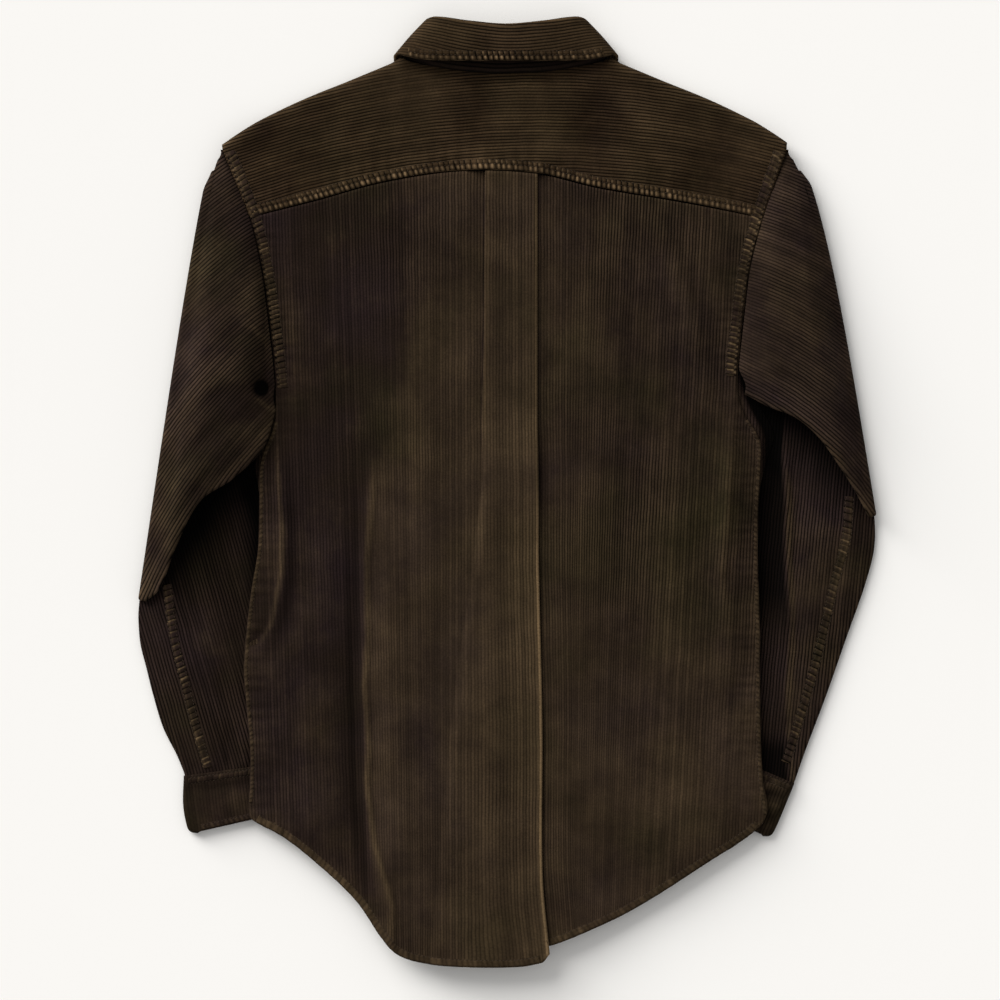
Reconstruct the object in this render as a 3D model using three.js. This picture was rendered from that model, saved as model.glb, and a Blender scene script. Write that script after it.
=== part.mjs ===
// A corduroy overshirt of medium size, laid out flat with its front down and its back up.
// X runs across the shoulders, Y from hem to collar and Z up from the surface that it lies on.
// The sleeves are flattened tubes: each is folded under along a slanting crease at its outer edge,
// so that the forearm comes out from below the upper arm, and its inner edge lies under the body.
// Lengths are in millimetres.
import * as THREE from "three";

const CLOTH = 1.8; // one layer of corduroy
const DOUBLE = 2.6; // two layers pressed together: collar, stand and cuffs
const SEAM = 0.4; // what parts one piece from the next
const LAYER = CLOTH + SEAM; // from the middle of one layer to the middle of the next
const BACK_HEIGHT = 11.5; // middle of the back panel above the surface, away from its folds
const SEAM_HEIGHT = 10; // middle of the back panel where it meets the fronts at the side
const FRONT_HEIGHT = CLOTH / 2; // middle of a front that lies on the surface
const SIDE_LIFT = 6.8; // how far the sleeves hold the sides of the fronts up
const LEFT_BAND_LIFT = 3.3; // how far the buttons hold up the middle edge of the left front
const RIGHT_BAND_LIFT = 5.8; // and of the right front, which lies on top of it
const ROLL_OUT = 3.2; // how far the collar goes on beyond its stand before it rolls over
const ROLL_RADIUS = 2.1;
const FRONT_LAP = 36; // width of the strip where the two fronts lie on each other
const BUTTON_RADIUS = 7.5;
const BUTTON_THICK = 2.9;
const BUTTON_PITCH = 88;
const BUTTON_COUNT = 7;
const FIRST_BUTTON_Y = 258;
const RIDGE_HEIGHT = 6.5; // the broad ridge that runs down the back, left of the pleat
const FRONT_SHORTER = 14; // how much higher the fronts end in the middle than the back does
const NECK_HEIGHT = 13.2; // middle of the yoke at the neck
const YOKE_UNDER = 31.5; // how far the yoke reaches round the shoulder to the front
const PLEAT_LEFT = -16; // the two edges of the box pleat at the yoke
const PLEAT_RIGHT = 25;

const CORDUROY = new THREE.MeshStandardMaterial({ color: 0x35281c, roughness: 0.95, metalness: 0 });
const BUTTON = new THREE.MeshStandardMaterial({ color: 0x2a1d14, roughness: 0.45, metalness: 0 });

// Rows of numbers under named columns.
const table = (columns, rows) =>
  rows.map((row) => Object.fromEntries(columns.map((name, i) => [name, row[i]])));

// The outline of the body: the edge of its cloth on each side, from shoulder to hem.
const BODY_EDGE = [
  { y: -300, left: -209, right: 203 },
  { y: -280, left: -215, right: 221 },
  { y: -268, left: -219, right: 222 },
  { y: -250, left: -218, right: 219 },
  { y: -215, left: -218, right: 217 },
  { y: -155, left: -223, right: 216 },
  { y: -120, left: -221, right: 216 },
  { y: -84, left: -217, right: 215 },
  { y: -46, left: -211, right: 214 },
  { y: -9, left: -210, right: 215 },
  { y: 27, left: -209, right: 217 },
  { y: 45, left: -202, right: 216 },
  { y: 64, left: -196, right: 205 },
  { y: 82, left: -195.5, right: 198 },
  { y: 100, left: -196.5, right: 197 },
  { y: 128, left: -199.5, right: 199.5 },
  { y: 188, left: -208, right: 207.5 },
  { y: 235, left: -219, right: 219.5 },
  { y: 291, left: -241, right: 238.5 },
];
// The hem of the back. The box of the pleat ends lower than the cloth to its right.
const HEM_LEFT = [
  { x: -230, y: -268 },
  { x: -214, y: -280 },
  { x: -190, y: -293 },
  { x: -164, y: -313 },
  { x: -128, y: -347 },
  { x: -104, y: -381 },
  { x: -92, y: -393 },
  { x: -70, y: -400 },
  { x: -40, y: -403 },
  { x: 12, y: -403 },
  { x: 34, y: -399 },
];
const HEM_RIGHT = [
  { x: 0, y: -392 },
  { x: 36, y: -386 },
  { x: 88, y: -365 },
  { x: 120, y: -348 },
  { x: 173, y: -314 },
  { x: 207, y: -292 },
  { x: 230, y: -270 },
];
// The seam between yoke and back, the line of neck and shoulders, and the top edge of the fronts.
const YOKE_SEAM = [
  { x: -236, y: 229 },
  { x: -209, y: 236 },
  { x: -158, y: 249 },
  { x: -107, y: 263 },
  { x: -41, y: 273 },
  { x: 25, y: 271 },
  { x: 77, y: 259 },
  { x: 148, y: 247 },
  { x: 215, y: 234 },
  { x: 236, y: 229 },
];
const SHOULDER = [
  { x: 0, y: 356.5 },
  { x: 40, y: 358.5 },
  { x: 70, y: 363.5 },
  { x: 84, y: 366.5 },
  { x: 92, y: 366 },
  { x: 110, y: 359 },
  { x: 131, y: 350.5 },
  { x: 173, y: 333.5 },
  { x: 208, y: 316.5 },
  { x: 228, y: 304 },
  { x: 241, y: 295 },
];
const FRONT_TOP = [
  { x: 0, y: 281 },
  { x: 20, y: 285.5 },
  { x: 40, y: 298 },
  { x: 58, y: 315 },
  { x: 76, y: 329 },
  { x: 84, y: 328.5 },
  { x: 102, y: 322 },
  { x: 124, y: 316 },
  { x: 145, y: 308 },
  { x: 165, y: 299.5 },
  { x: 184, y: 291 },
  { x: 203, y: 280.5 },
  { x: 214, y: 272 },
  { x: 227, y: 259 },
];
const FRONT_SIDE_Y = 259; // top corner of a front at the armhole
// The columns of the yoke, closest together where its fold ends beside the neck.
const YOKE_COLUMNS = [
  0, 18, 36, 54, 68, 78, 84, 88, 92, 97, 103, 112, 128, 148, 168, 188, 206, 222, 241,
];
// How each edge of the box pleat folds, from the yoke down: the cloth under the box, the angle
// that the cloth turns through and the radius it turns on. The left edge lets go on the way down.
const PLEAT_COLUMNS = ["y", "leftX", "leftUnder", "leftTurn", "leftRadius", "rightX", "rightUnder"];
const PLEAT = table(PLEAT_COLUMNS, [
  [-400, -60, 6, 16, 7, 34.5, 26],
  [-200, -42, 6, 16, 7, 29, 23],
  [-60, -25, 5, 24, 6, 26, 20],
  [0, -21, 4, 80, 2, 26, 19],
  [60, -19, 5, 170, LAYER / 2, 25, 18],
  [130, -17, 12, 180, LAYER / 2, 25, 18],
  [272, PLEAT_LEFT, 18, 180, LAYER / 2, PLEAT_RIGHT, 18],
]);
// The flattened sleeves, from the armhole to the cuff. Each row is one section of the tube: where its
// shoulder edge and its underarm edge lie, how far it bows towards the body, the angle through which
// its upper side has turned about the crease, and how far each of its two sides bulges. The last
// column marks the section at the crease.
const SLEEVE_COLUMNS = [
  "topX", "topY", "topZ", "underX", "underY", "underZ",
  "hug", "bow", "turn", "bulge", "lower", "creased",
];
const SLEEVE_LEFT = table(SLEEVE_COLUMNS, [
  [-240.8, 289, 9.8, -198.5, 72, 9.6, 1, 0, 0, 3, 0, 0],
  [-241.1, 286, 10.4, -212, 39, 17, 0.6, 0, 0, 8, -4, 0],
  [-241.5, 283, 10.8, -235, 13, 21, 0.3, 0, 0, 11, -6, 0],
  [-242, 280, 10.8, -261, -8, 22, 0, 0, 0, 10, -5, 0],
  [-242.8, 277, 10.8, -281, -46, 18, 0, -1, 0, 7, -3, 0],
  [-243.7, 274, 10.8, -294, -80, 13.5, 0, -2, 0, 3, -1, 0],
  [-245, 270, 6.5, -306.5, -92, 6.5, 0, -3.5, 0, 0, 0, 1],
  [-234, 206, 2.2, -307.6, -104.5, 2.2, 0, -3, 180, 0, 0.8, 0],
  [-225, 130, 2.2, -310.4, -118, 2.2, 0, 0, 180, 0, 3, 0],
  [-216, 50, 2.2, -310.5, -131, 2.2, 0, 0, 180, 0, 5, 0],
  [-206, -30, 2.2, -306.5, -148, 2.2, 0, 0, 180, 0, 5, 0],
  [-195, -105, 2.2, -300, -172, 2.2, 0, 0, 180, 0, 5, 0],
  [-184, -165, 2.2, -291.5, -200, 2.2, 0, 0, 180, 0, 4.5, 0],
  [-175, -205, 2.4, -280, -223, 2.4, 0, 0, 180, 0, 2.5, 0],
  [-168, -226, 2.7, -273, -240.5, 2.7, 0, 0, 180, 0, 0, 0],
]);
const SLEEVE_RIGHT = table(SLEEVE_COLUMNS, [
  [238.6, 289, 9.8, 203.5, 84, 9.6, 1, 0, 0, 3, 0, 0],
  [238.9, 286, 10.4, 224, 73, 17, 0.6, 0, 0, 8, -4, 0],
  [239.3, 283, 10.8, 246, 64, 21, 0.3, 0, 0, 11, -6, 0],
  [240, 280, 10.8, 266, 47, 22, 0, -2, 0, 10, -5, 0],
  [241, 277, 10.8, 282, 25, 20, 0, -4, 0, 7, -3, 0],
  [242.1, 274, 10.8, 296, 2, 15, 0, -7.5, 0, 3, -1, 0],
  [243.8, 270, 6.5, 306.5, -20, 6.5, 0, -9, 0, 0, 0, 1],
  [232, 212, 2.2, 307.6, -31, 2.2, 0, -8, 180, 0, 0.8, 0],
  [223, 145, 2.2, 310.6, -43.5, 2.2, 0, -5, 180, 0, 2, 0],
  [213, 75, 2.2, 311, -57, 2.2, 0, 0, 180, 0, 5, 0],
  [201, 5, 2.2, 303, -84, 2.2, 0, 0, 180, 0, 5, 0],
  [187, -60, 2.2, 289.5, -123, 2.2, 0, 0, 180, 0, 4, 0],
  [171, -120, 2.2, 272, -173, 2.2, 0, 0, 180, 0, 2, 0],
  [157, -170, 2.4, 255, -218, 2.4, 0, 0, 180, 0, 1.5, 0],
  [146, -205, 2.7, 245, -246.5, 2.7, 0, 0, 180, 0, 0, 0],
]);
const CUFF_COLUMNS = ["topX", "topY", "underX", "underY", "bow"];
const CUFF_LEFT = table(CUFF_COLUMNS, [
  [-166.9, -226.9, -273.4, -241.4, 0],
  [-165.5, -247, -274, -265, 0],
  [-164, -267, -269, -290.5, 0],
]);
const CUFF_RIGHT = table(CUFF_COLUMNS, [
  [145.6, -205.9, 244.6, -247.5, 0],
  [136, -229, 235, -271, 0],
  [125, -252, 224, -294, 0],
]);
// Half of the collar and of its stand, from the middle of the back to the front: the seam at the
// neck, the top edge of the stand, the free edge of the collar, and the way the collar faces
// there, from straight up at the back to straight down at the front.
const COLLAR_COLUMNS = [
  "seamX", "seamY", "seamZ", "topX", "topY", "topZ", "edgeX", "edgeY", "edgeZ", "face",
];
const COLLAR = table(COLLAR_COLUMNS, [
  [0, 357.2, 14, 0, 391.5, 17.6, 0, 366.5, 19.9, 0],
  [34, 358.8, 13.8, 31, 394, 17.6, 38, 366.5, 19.7, 0],
  [62, 363.2, 13.4, 52, 397, 17, 70, 367.5, 18.7, 8],
  [80, 369, 12.3, 63, 397.5, 14.5, 85.5, 370.5, 16.4, 35],
  [86, 372.5, 9.4, 68, 393.5, 10.6, 93, 372.5, 9.4, 90],
  [80.5, 365.5, 6.8, 67, 386, 7.2, 95, 364, 2, 150],
  [74, 341, 6, 55, 362, 6.2, 90, 326, 1.6, 180],
  [46, 307, 5.8, 32, 331, 6, 73, 284, 1.6, 180],
  [3, 285, 5.8, 4, 312, 6, 54, 254, 1.6, 180],
]);

// 0 below 0, 1 above 1 and smooth in between.
const ease = (t) => THREE.MathUtils.smoothstep(t, 0, 1);
const mix = THREE.MathUtils.lerp;

// Reads a table at any value of its first column, on a smooth curve through its rows.
function reader(rows) {
  const [key, ...columns] = Object.keys(rows[0]);
  const slope = (i, column) => {
    const before = rows[Math.max(i - 1, 0)];
    const after = rows[Math.min(i + 1, rows.length - 1)];
    return (after[column] - before[column]) / (after[key] - before[key]);
  };
  return (value) => {
    const at = THREE.MathUtils.clamp(value, rows[0][key], rows[rows.length - 1][key]);
    let i = 0;
    while (i < rows.length - 2 && at > rows[i + 1][key]) i += 1;
    const step = rows[i + 1][key] - rows[i][key];
    const t = (at - rows[i][key]) / step;
    const read = {};
    for (const column of columns) {
      const [a, b] = [rows[i][column], rows[i + 1][column]];
      const [ta, tb] = [slope(i, column) * step, slope(i + 1, column) * step];
      read[column] =
        (2 * t ** 3 - 3 * t ** 2 + 1) * a +
        (t ** 3 - 2 * t ** 2 + t) * ta +
        (3 * t ** 2 - 2 * t ** 3) * b +
        (t ** 3 - t ** 2) * tb;
    }
    return read;
  };
}

const bodyEdge = reader(BODY_EDGE);
const hemLeft = reader(HEM_LEFT);
const hemRight = reader(HEM_RIGHT);
const yokeSeam = reader(YOKE_SEAM);
const shoulder = reader(SHOULDER);
const frontTop = reader(FRONT_TOP);
const pleat = reader(PLEAT);

// A body from loops or rows of points, joined face by face, turned so that its faces point outwards.
function closedGeometry(points, faces) {
  const signed = faces.reduce((sum, [a, b, c]) => {
    const normal = new THREE.Vector3().crossVectors(points[b], points[c]);
    return sum + points[a].dot(normal);
  }, 0);
  const index = faces.flatMap(([a, b, c]) => (signed > 0 ? [a, b, c] : [a, c, b]));
  const geometry = new THREE.BufferGeometry().setFromPoints(points);
  geometry.setIndex(index);
  geometry.computeVertexNormals();
  return geometry;
}

const quad = (a, b, c, d) => [
  [a, b, c],
  [a, c, d],
];

// A sheet of cloth: rows of points on its middle, given a thickness along its own normals.
function clothWall(rows, thick) {
  const [down, across] = [rows.length, rows[0].length];
  const clampTo = (n, size) => THREE.MathUtils.clamp(n, 0, size - 1);
  const points = [];
  for (const side of [0.5, -0.5]) {
    rows.forEach((row, i) =>
      row.forEach((point, j) => {
        const along = new THREE.Vector3().subVectors(
          row[clampTo(j + 1, across)],
          row[clampTo(j - 1, across)],
        );
        const onward = new THREE.Vector3().subVectors(
          rows[clampTo(i + 1, down)][j],
          rows[clampTo(i - 1, down)][j],
        );
        const normal = onward.cross(along).normalize();
        points.push(point.clone().addScaledVector(normal, side * thick));
      }),
    );
  }
  const upper = (i, j) => i * across + j;
  const lower = (i, j) => down * across + i * across + j;
  const faces = [];
  for (let i = 0; i < down - 1; i += 1) {
    for (let j = 0; j < across - 1; j += 1) {
      faces.push(...quad(upper(i, j), upper(i + 1, j), upper(i + 1, j + 1), upper(i, j + 1)));
      faces.push(...quad(lower(i, j), lower(i, j + 1), lower(i + 1, j + 1), lower(i + 1, j)));
    }
    faces.push(...quad(upper(i, 0), lower(i, 0), lower(i + 1, 0), upper(i + 1, 0)));
    const end = across - 1;
    faces.push(...quad(upper(i, end), upper(i + 1, end), lower(i + 1, end), lower(i, end)));
  }
  for (let j = 0; j < across - 1; j += 1) {
    faces.push(...quad(upper(0, j), upper(0, j + 1), lower(0, j + 1), lower(0, j)));
    const last = down - 1;
    faces.push(...quad(upper(last, j), lower(last, j), lower(last, j + 1), upper(last, j + 1)));
  }
  return closedGeometry(points, faces);
}

// A tube of cloth that is open at both ends: loops of points on its outside and on its inside.
function tubeWall(outer, inner) {
  const [rings, count] = [outer.length, outer[0].length];
  const points = [...outer.flat(), ...inner.flat()];
  const out = (i, j) => i * count + (j % count);
  const into = (i, j) => rings * count + i * count + (j % count);
  const faces = [];
  for (let j = 0; j < count; j += 1) {
    for (let i = 0; i < rings - 1; i += 1) {
      faces.push(...quad(out(i, j), out(i, j + 1), out(i + 1, j + 1), out(i + 1, j)));
      faces.push(...quad(into(i, j), into(i + 1, j), into(i + 1, j + 1), into(i, j + 1)));
    }
    faces.push(...quad(out(0, j), into(0, j), into(0, j + 1), out(0, j + 1)));
    const last = rings - 1;
    faces.push(...quad(out(last, j), out(last, j + 1), into(last, j + 1), into(last, j)));
  }
  return closedGeometry(points, faces);
}

// How high the fronts lie: on the surface, but over the sleeves, the buttons and the collar.
function frontHeight(x, y, centreLift) {
  const inner = innerSleeve(x, y);
  const side = SIDE_LIFT * ease((Math.abs(x) - (inner - 44)) / 34);
  const centre = centreLift * ease((50 - Math.abs(x)) / 30);
  const collar = 3.4 * ease((146 - Math.abs(x)) / 44) * ease((y - 205) / 35);
  return FRONT_HEIGHT + Math.max(side, centre, collar);
}

// How far from the middle the inner edge of the sleeve below the body lies.
const INNER_SLEEVE = [
  { y: -300, left: 162, right: 122 },
  { y: -252, left: 164, right: 124 },
  { y: -205, left: 172, right: 144 },
  { y: -120, left: 190, right: 169 },
  { y: -30, left: 203, right: 194 },
  { y: 40, left: 206, right: 204 },
  { y: 100, left: 196, right: 197 },
  { y: 235, left: 219, right: 218 },
  { y: 300, left: 240, right: 238 },
];
const innerSleeveAt = reader(INNER_SLEEVE);
function innerSleeve(x, y) {
  const read = innerSleeveAt(y);
  return x < 0 ? read.left : read.right;
}

// The relief of the back: it falls to the side seams, and soft folds run down it. The broad ridge
// left of the pleat carries on over its box, and not into the cloth below.
function backHeight(x, y, carried) {
  const edge = bodyEdge(y);
  const inset = x < 0 ? x - edge.left : edge.right - x;
  const side = (BACK_HEIGHT - SEAM_HEIGHT) * (1 - ease(inset / 45));
  const ridgeAcross = ease((x + 124) / 28) * (1 - 0.5 * ease((x + 20) / 50));
  const ridge = carried * ridgeAcross * ease((90 - y) / 240);
  const leftReach = ease((40 - y) / 50) * ease((y + 140) / 70);
  const rightReach = ease((60 - y) / 50) * ease((y + 200) / 110);
  const leftFold = 4 * Math.exp(-(((x + 190) / 12) ** 2)) * leftReach;
  const rightFold = 4 * Math.exp(-(((x - 190) / 13) ** 2)) * rightReach;
  const shoulderRise = 1.5 * ease((y - 180) / 100);
  return BACK_HEIGHT - side + RIDGE_HEIGHT * ridge + leftFold + rightFold + shoulderRise;
}

// One section across the back, from the left seam to the right, with the folds of the pleat.
const YOKE_SIDE_Y = 234; // where the yoke seam and the hem meet the sides
const SIDE_END_LEFT_Y = -276;
const SIDE_END_RIGHT_Y = -283;
const FLAT_STEPS = 12;
const TURN_STEPS = 4;
const BOX_STEPS = 4;
function backSection(v) {
  const atY = mix(272, -400, v);
  const fold = pleat(atY);
  const turn = THREE.MathUtils.degToRad(fold.leftTurn);
  const section = [];
  const push = (x, rise, hem, carried = 1) => section.push({ x, rise, hem, carried });
  const edge = {
    left: bodyEdge(mix(YOKE_SIDE_Y, SIDE_END_LEFT_Y, v)).left,
    right: bodyEdge(mix(YOKE_SIDE_Y, SIDE_END_RIGHT_Y, v)).right,
  };
  const r = fold.leftRadius;
  const leftRise = 2 * r * (1 - Math.cos(turn)) + fold.leftUnder * Math.sin(turn);
  const leftStart = fold.leftX + (turn > Math.PI / 2 ? fold.leftUnder : -fold.leftUnder);
  for (let k = 0; k <= FLAT_STEPS; k += 1) {
    push(mix(edge.left, leftStart, k / FLAT_STEPS), 0, hemLeft);
  }
  let [x, rise] = [leftStart, 0];
  for (let k = 1; k <= TURN_STEPS; k += 1) {
    const a = (turn * k) / TURN_STEPS;
    push(x + r * Math.sin(a), rise + r * (1 - Math.cos(a)), hemLeft);
  }
  x += r * Math.sin(turn) + fold.leftUnder * Math.cos(turn);
  rise += r * (1 - Math.cos(turn)) + fold.leftUnder * Math.sin(turn);
  push(x, rise, hemLeft);
  for (let k = 1; k <= TURN_STEPS; k += 1) {
    const a = turn * (1 - k / TURN_STEPS);
    const [on, up] = [Math.sin(turn) - Math.sin(a), Math.cos(a) - Math.cos(turn)];
    push(x + r * on, rise + r * up, hemLeft);
  }
  x += r * Math.sin(turn);
  const top = Math.max(leftRise, 2 * LAYER);
  for (let k = 1; k <= BOX_STEPS; k += 1) {
    push(mix(x, fold.rightX, k / BOX_STEPS), mix(leftRise, top, k / BOX_STEPS), hemLeft);
  }
  const radius = LAYER / 2;
  for (let k = 1; k <= TURN_STEPS; k += 1) {
    const a = (Math.PI * k) / TURN_STEPS;
    push(fold.rightX + radius * Math.sin(a), top - radius * (1 - Math.cos(a)), hemLeft);
  }
  push(fold.rightX - fold.rightUnder / 2, LAYER, hemLeft, 0.75);
  push(fold.rightX - fold.rightUnder, LAYER, hemRight, 0);
  for (let k = 1; k <= TURN_STEPS; k += 1) {
    const a = (Math.PI * k) / TURN_STEPS;
    const inner = fold.rightX - fold.rightUnder - radius * Math.sin(a);
    push(inner, LAYER - radius * (1 - Math.cos(a)), hemRight, 0);
  }
  for (let k = 1; k <= FLAT_STEPS; k += 1) {
    push(mix(fold.rightX - fold.rightUnder, edge.right, k / FLAT_STEPS), 0, hemRight, 0);
  }
  return section.map((p) => {
    const y = mix(yokeSeam(p.x).y - SEAM, p.hem(p.x).y, v);
    return new THREE.Vector3(p.x, y, backHeight(p.x, y, p.carried) + p.rise);
  });
}

function backPanel() {
  const ROWS = 15;
  const rows = [];
  for (let i = 0; i <= ROWS; i += 1) rows.push(backSection(i / ROWS));
  return clothWall(rows, CLOTH);
}

// The yoke: up from its back seam to the neck, or over the shoulder and a little way under.
function yoke() {
  const [FLAT_ROWS, FOLD_ROWS, UNDER_ROWS, EDGE_STEP] = [6, 5, 2, 0.5];
  const ROWS = FLAT_ROWS + FOLD_ROWS + UNDER_ROWS;
  const columns = [...YOKE_COLUMNS.slice(1).reverse().map((x) => -x), ...YOKE_COLUMNS];
  const widest = YOKE_COLUMNS[YOKE_COLUMNS.length - 1];
  const rows = [];
  for (let i = 0; i <= ROWS; i += 1) {
    const row = columns.map((column) => {
      const outTo = Math.abs(column) / widest;
      const side = Math.sign(column);
      const xAt = (y) => outTo * (side < 0 ? bodyEdge(y).left : bodyEdge(y).right);
      const outX = xAt(291);
      const [low, high] = [yokeSeam(xAt(234)).y + SEAM, shoulder(Math.abs(outX)).y];
      const wraps = ease((Math.abs(outX) - 84) / 15);
      const under = frontHeight(outX, 330, 0);
      const radius = mix(3.8, 3.4, ease((Math.abs(outX) - 92) / 40));
      const turnLength = Math.PI * radius;
      const fold = high - low - radius * wraps;
      const last = EDGE_STEP * (FOLD_ROWS + UNDER_ROWS);
      const share = Math.min(i, FLAT_ROWS) / FLAT_ROWS;
      const flat = (high - low - last) * share + EDGE_STEP * Math.max(i - FLAT_ROWS, 0);
      const folded =
        fold * share +
        (turnLength * THREE.MathUtils.clamp(i - FLAT_ROWS, 0, FOLD_ROWS)) / FOLD_ROWS +
        (YOKE_UNDER * Math.max(i - FLAT_ROWS - FOLD_ROWS, 0)) / UNDER_ROWS;
      const s = mix(flat, folded, wraps);
      const overPleat = ease((outX + 40) / 22) * ease((50 - outX) / 22);
      const pleatRise = 2 * LAYER * overPleat * (1 - ease(s / 40));
      if (s <= fold) {
        const y = low + s;
        const topHeight = mix(NECK_HEIGHT, under + 2 * radius, wraps);
        const rise = mix(backHeight(xAt(y), y, 0), topHeight, ease(s / fold));
        return new THREE.Vector3(xAt(y), y, rise + pleatRise);
      }
      const past = s - fold;
      const angle = Math.min(past / radius, Math.PI);
      const back = Math.max(past - turnLength, 0);
      const y = low + fold + radius * Math.sin(angle) - back;
      const inward = 14 * (back / YOKE_UNDER) * ease((140 - Math.abs(outX)) / 48);
      return new THREE.Vector3(xAt(y) - side * inward, y, under + radius + radius * Math.cos(angle));
    });
    rows.push(row);
  }
  return clothWall(rows, CLOTH);
}

// A front, from its side seam to past the middle, where the left one lies outside the right.
function frontPanel(side, bandLift) {
  const [COLUMNS, ROWS] = [13, 13];
  const hem = side < 0 ? hemLeft : hemRight;
  const edgeAt = (y) => (side < 0 ? -bodyEdge(y).left : bodyEdge(y).right) - 1;
  const rows = [];
  for (let i = 0; i <= ROWS; i += 1) {
    const v = i / ROWS;
    const sideY = mix(FRONT_SIDE_Y, side < 0 ? SIDE_END_LEFT_Y : SIDE_END_RIGHT_Y, v);
    const row = [];
    for (let j = 0; j <= COLUMNS; j += 1) {
      const x = side * mix(edgeAt(sideY), -FRONT_LAP / 2, j / COLUMNS);
      const low = hem(side < 0 ? Math.min(x, 0) : Math.max(x, 40)).y + FRONT_SHORTER * (j / COLUMNS);
      const y = mix(frontTop(Math.abs(x)).y - SEAM, low, v);
      row.push(new THREE.Vector3(x, y, frontHeight(x, y, bandLift)));
    }
    rows.push(row);
  }
  return clothWall(rows, CLOTH);
}

// One loop round a flattened tube, at the given distance from the middle of its wall.
const SIDE_STEPS = 9;
const END_STEPS = 4;
const ARMHOLE_GAP = 0.9;
const BOW_SKEW = 0.85;
function loopPoints(row, gap, offset, outwardSign, peak) {
  const top = new THREE.Vector3(row.topX, row.topY, row.topZ);
  const under = new THREE.Vector3(row.underX, row.underY, row.underZ);
  const along = new THREE.Vector3().subVectors(under, top);
  const length = along.length();
  along.normalize();
  const outward = new THREE.Vector3(along.y, -along.x, 0).normalize();
  if (outward.x * outwardSign < 0) outward.negate();
  const turn = THREE.MathUtils.degToRad(row.turn);
  const facing = new THREE.Vector3(0, 0, Math.cos(turn)).addScaledVector(outward, Math.sin(turn));
  const half = gap + offset;
  const local = [];
  for (let k = 0; k <= END_STEPS; k += 1) {
    const a = Math.PI / 2 + (Math.PI * k) / END_STEPS;
    local.push([gap + half * Math.cos(a), half * Math.sin(a)]);
  }
  const shape = (w) => Math.sin(Math.PI * w ** peak);
  const aside = (a) => {
    const w = THREE.MathUtils.clamp(a / length, 0, 1);
    const chord = new THREE.Vector3().lerpVectors(top, under, w);
    const edge = bodyEdge(chord.y);
    const armhole = outwardSign < 0 ? edge.left - ARMHOLE_GAP : edge.right + ARMHOLE_GAP;
    const hugging = row.hug * (armhole - chord.x) * -outwardSign;
    const close = row.hug < 1 ? 1 - ease((w - 0.5) / 0.45) : 1 - ease((w - 0.9) / 0.08);
    return Math.max(hugging, 0) * close + row.bow * Math.sin(Math.PI * w ** BOW_SKEW);
  };
  for (let k = 1; k < SIDE_STEPS; k += 1) {
    const w = k / SIDE_STEPS;
    local.push([mix(gap, length - gap, w), -half - row.lower * shape(w)]);
  }
  for (let k = 0; k <= END_STEPS; k += 1) {
    const a = -Math.PI / 2 + (Math.PI * k) / END_STEPS;
    local.push([length - gap + half * Math.cos(a), half * Math.sin(a)]);
  }
  for (let k = SIDE_STEPS - 1; k > 0; k -= 1) {
    const w = k / SIDE_STEPS;
    local.push([mix(gap, length - gap, w), half + row.bulge * shape(w)]);
  }
  return local.map(([a, b]) =>
    top
      .clone()
      .addScaledVector(along, a)
      .addScaledVector(facing, b)
      .addScaledVector(outward, -aside(a)),
  );
}

// The row at the crease stands for the rows of the half turn about it.
const CREASE_RADIUS = 4.3;
const CREASE_STEPS = 6;
function turnedRows(rows, outwardSign) {
  return rows.flatMap((row) => {
    if (!row.creased) return [row];
    const along = new THREE.Vector2(row.underX - row.topX, row.underY - row.topY).normalize();
    const outward = new THREE.Vector2(along.y, -along.x);
    if (outward.x * outwardSign < 0) outward.negate();
    return Array.from({ length: CREASE_STEPS + 1 }, (_, k) => {
      const turn = (Math.PI * k) / CREASE_STEPS;
      const [shift, lift] = [CREASE_RADIUS * Math.sin(turn), CREASE_RADIUS * Math.cos(turn)];
      return {
        ...row,
        topX: row.topX + outward.x * shift,
        topY: row.topY + outward.y * shift,
        topZ: row.topZ + lift,
        underX: row.underX + outward.x * shift,
        underY: row.underY + outward.y * shift,
        underZ: row.underZ + lift,
        turn: THREE.MathUtils.radToDeg(turn),
      };
    });
  });
}

function sleeve(rows, outwardSign) {
  const HALF_GAP = 1.3;
  const turned = turnedRows(rows, outwardSign);
  const loops = (offset) =>
    turned.map((row) => loopPoints(row, HALF_GAP, offset, outwardSign, row.turn === 180 ? 2.4 : 1));
  return tubeWall(loops(CLOTH / 2), loops(-CLOTH / 2));
}

function cuff(rows, outwardSign) {
  const HALF_GAP = 1.7;
  const height = HALF_GAP + DOUBLE / 2;
  const flat = { topZ: height, underZ: height, hug: 0, turn: 180, bulge: 0, lower: 0 };
  const full = rows.map((row) => ({ ...row, ...flat }));
  const loops = (offset) => full.map((row) => loopPoints(row, HALF_GAP, offset, outwardSign, 1));
  return tubeWall(loops(DOUBLE / 2), loops(-DOUBLE / 2));
}

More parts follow.
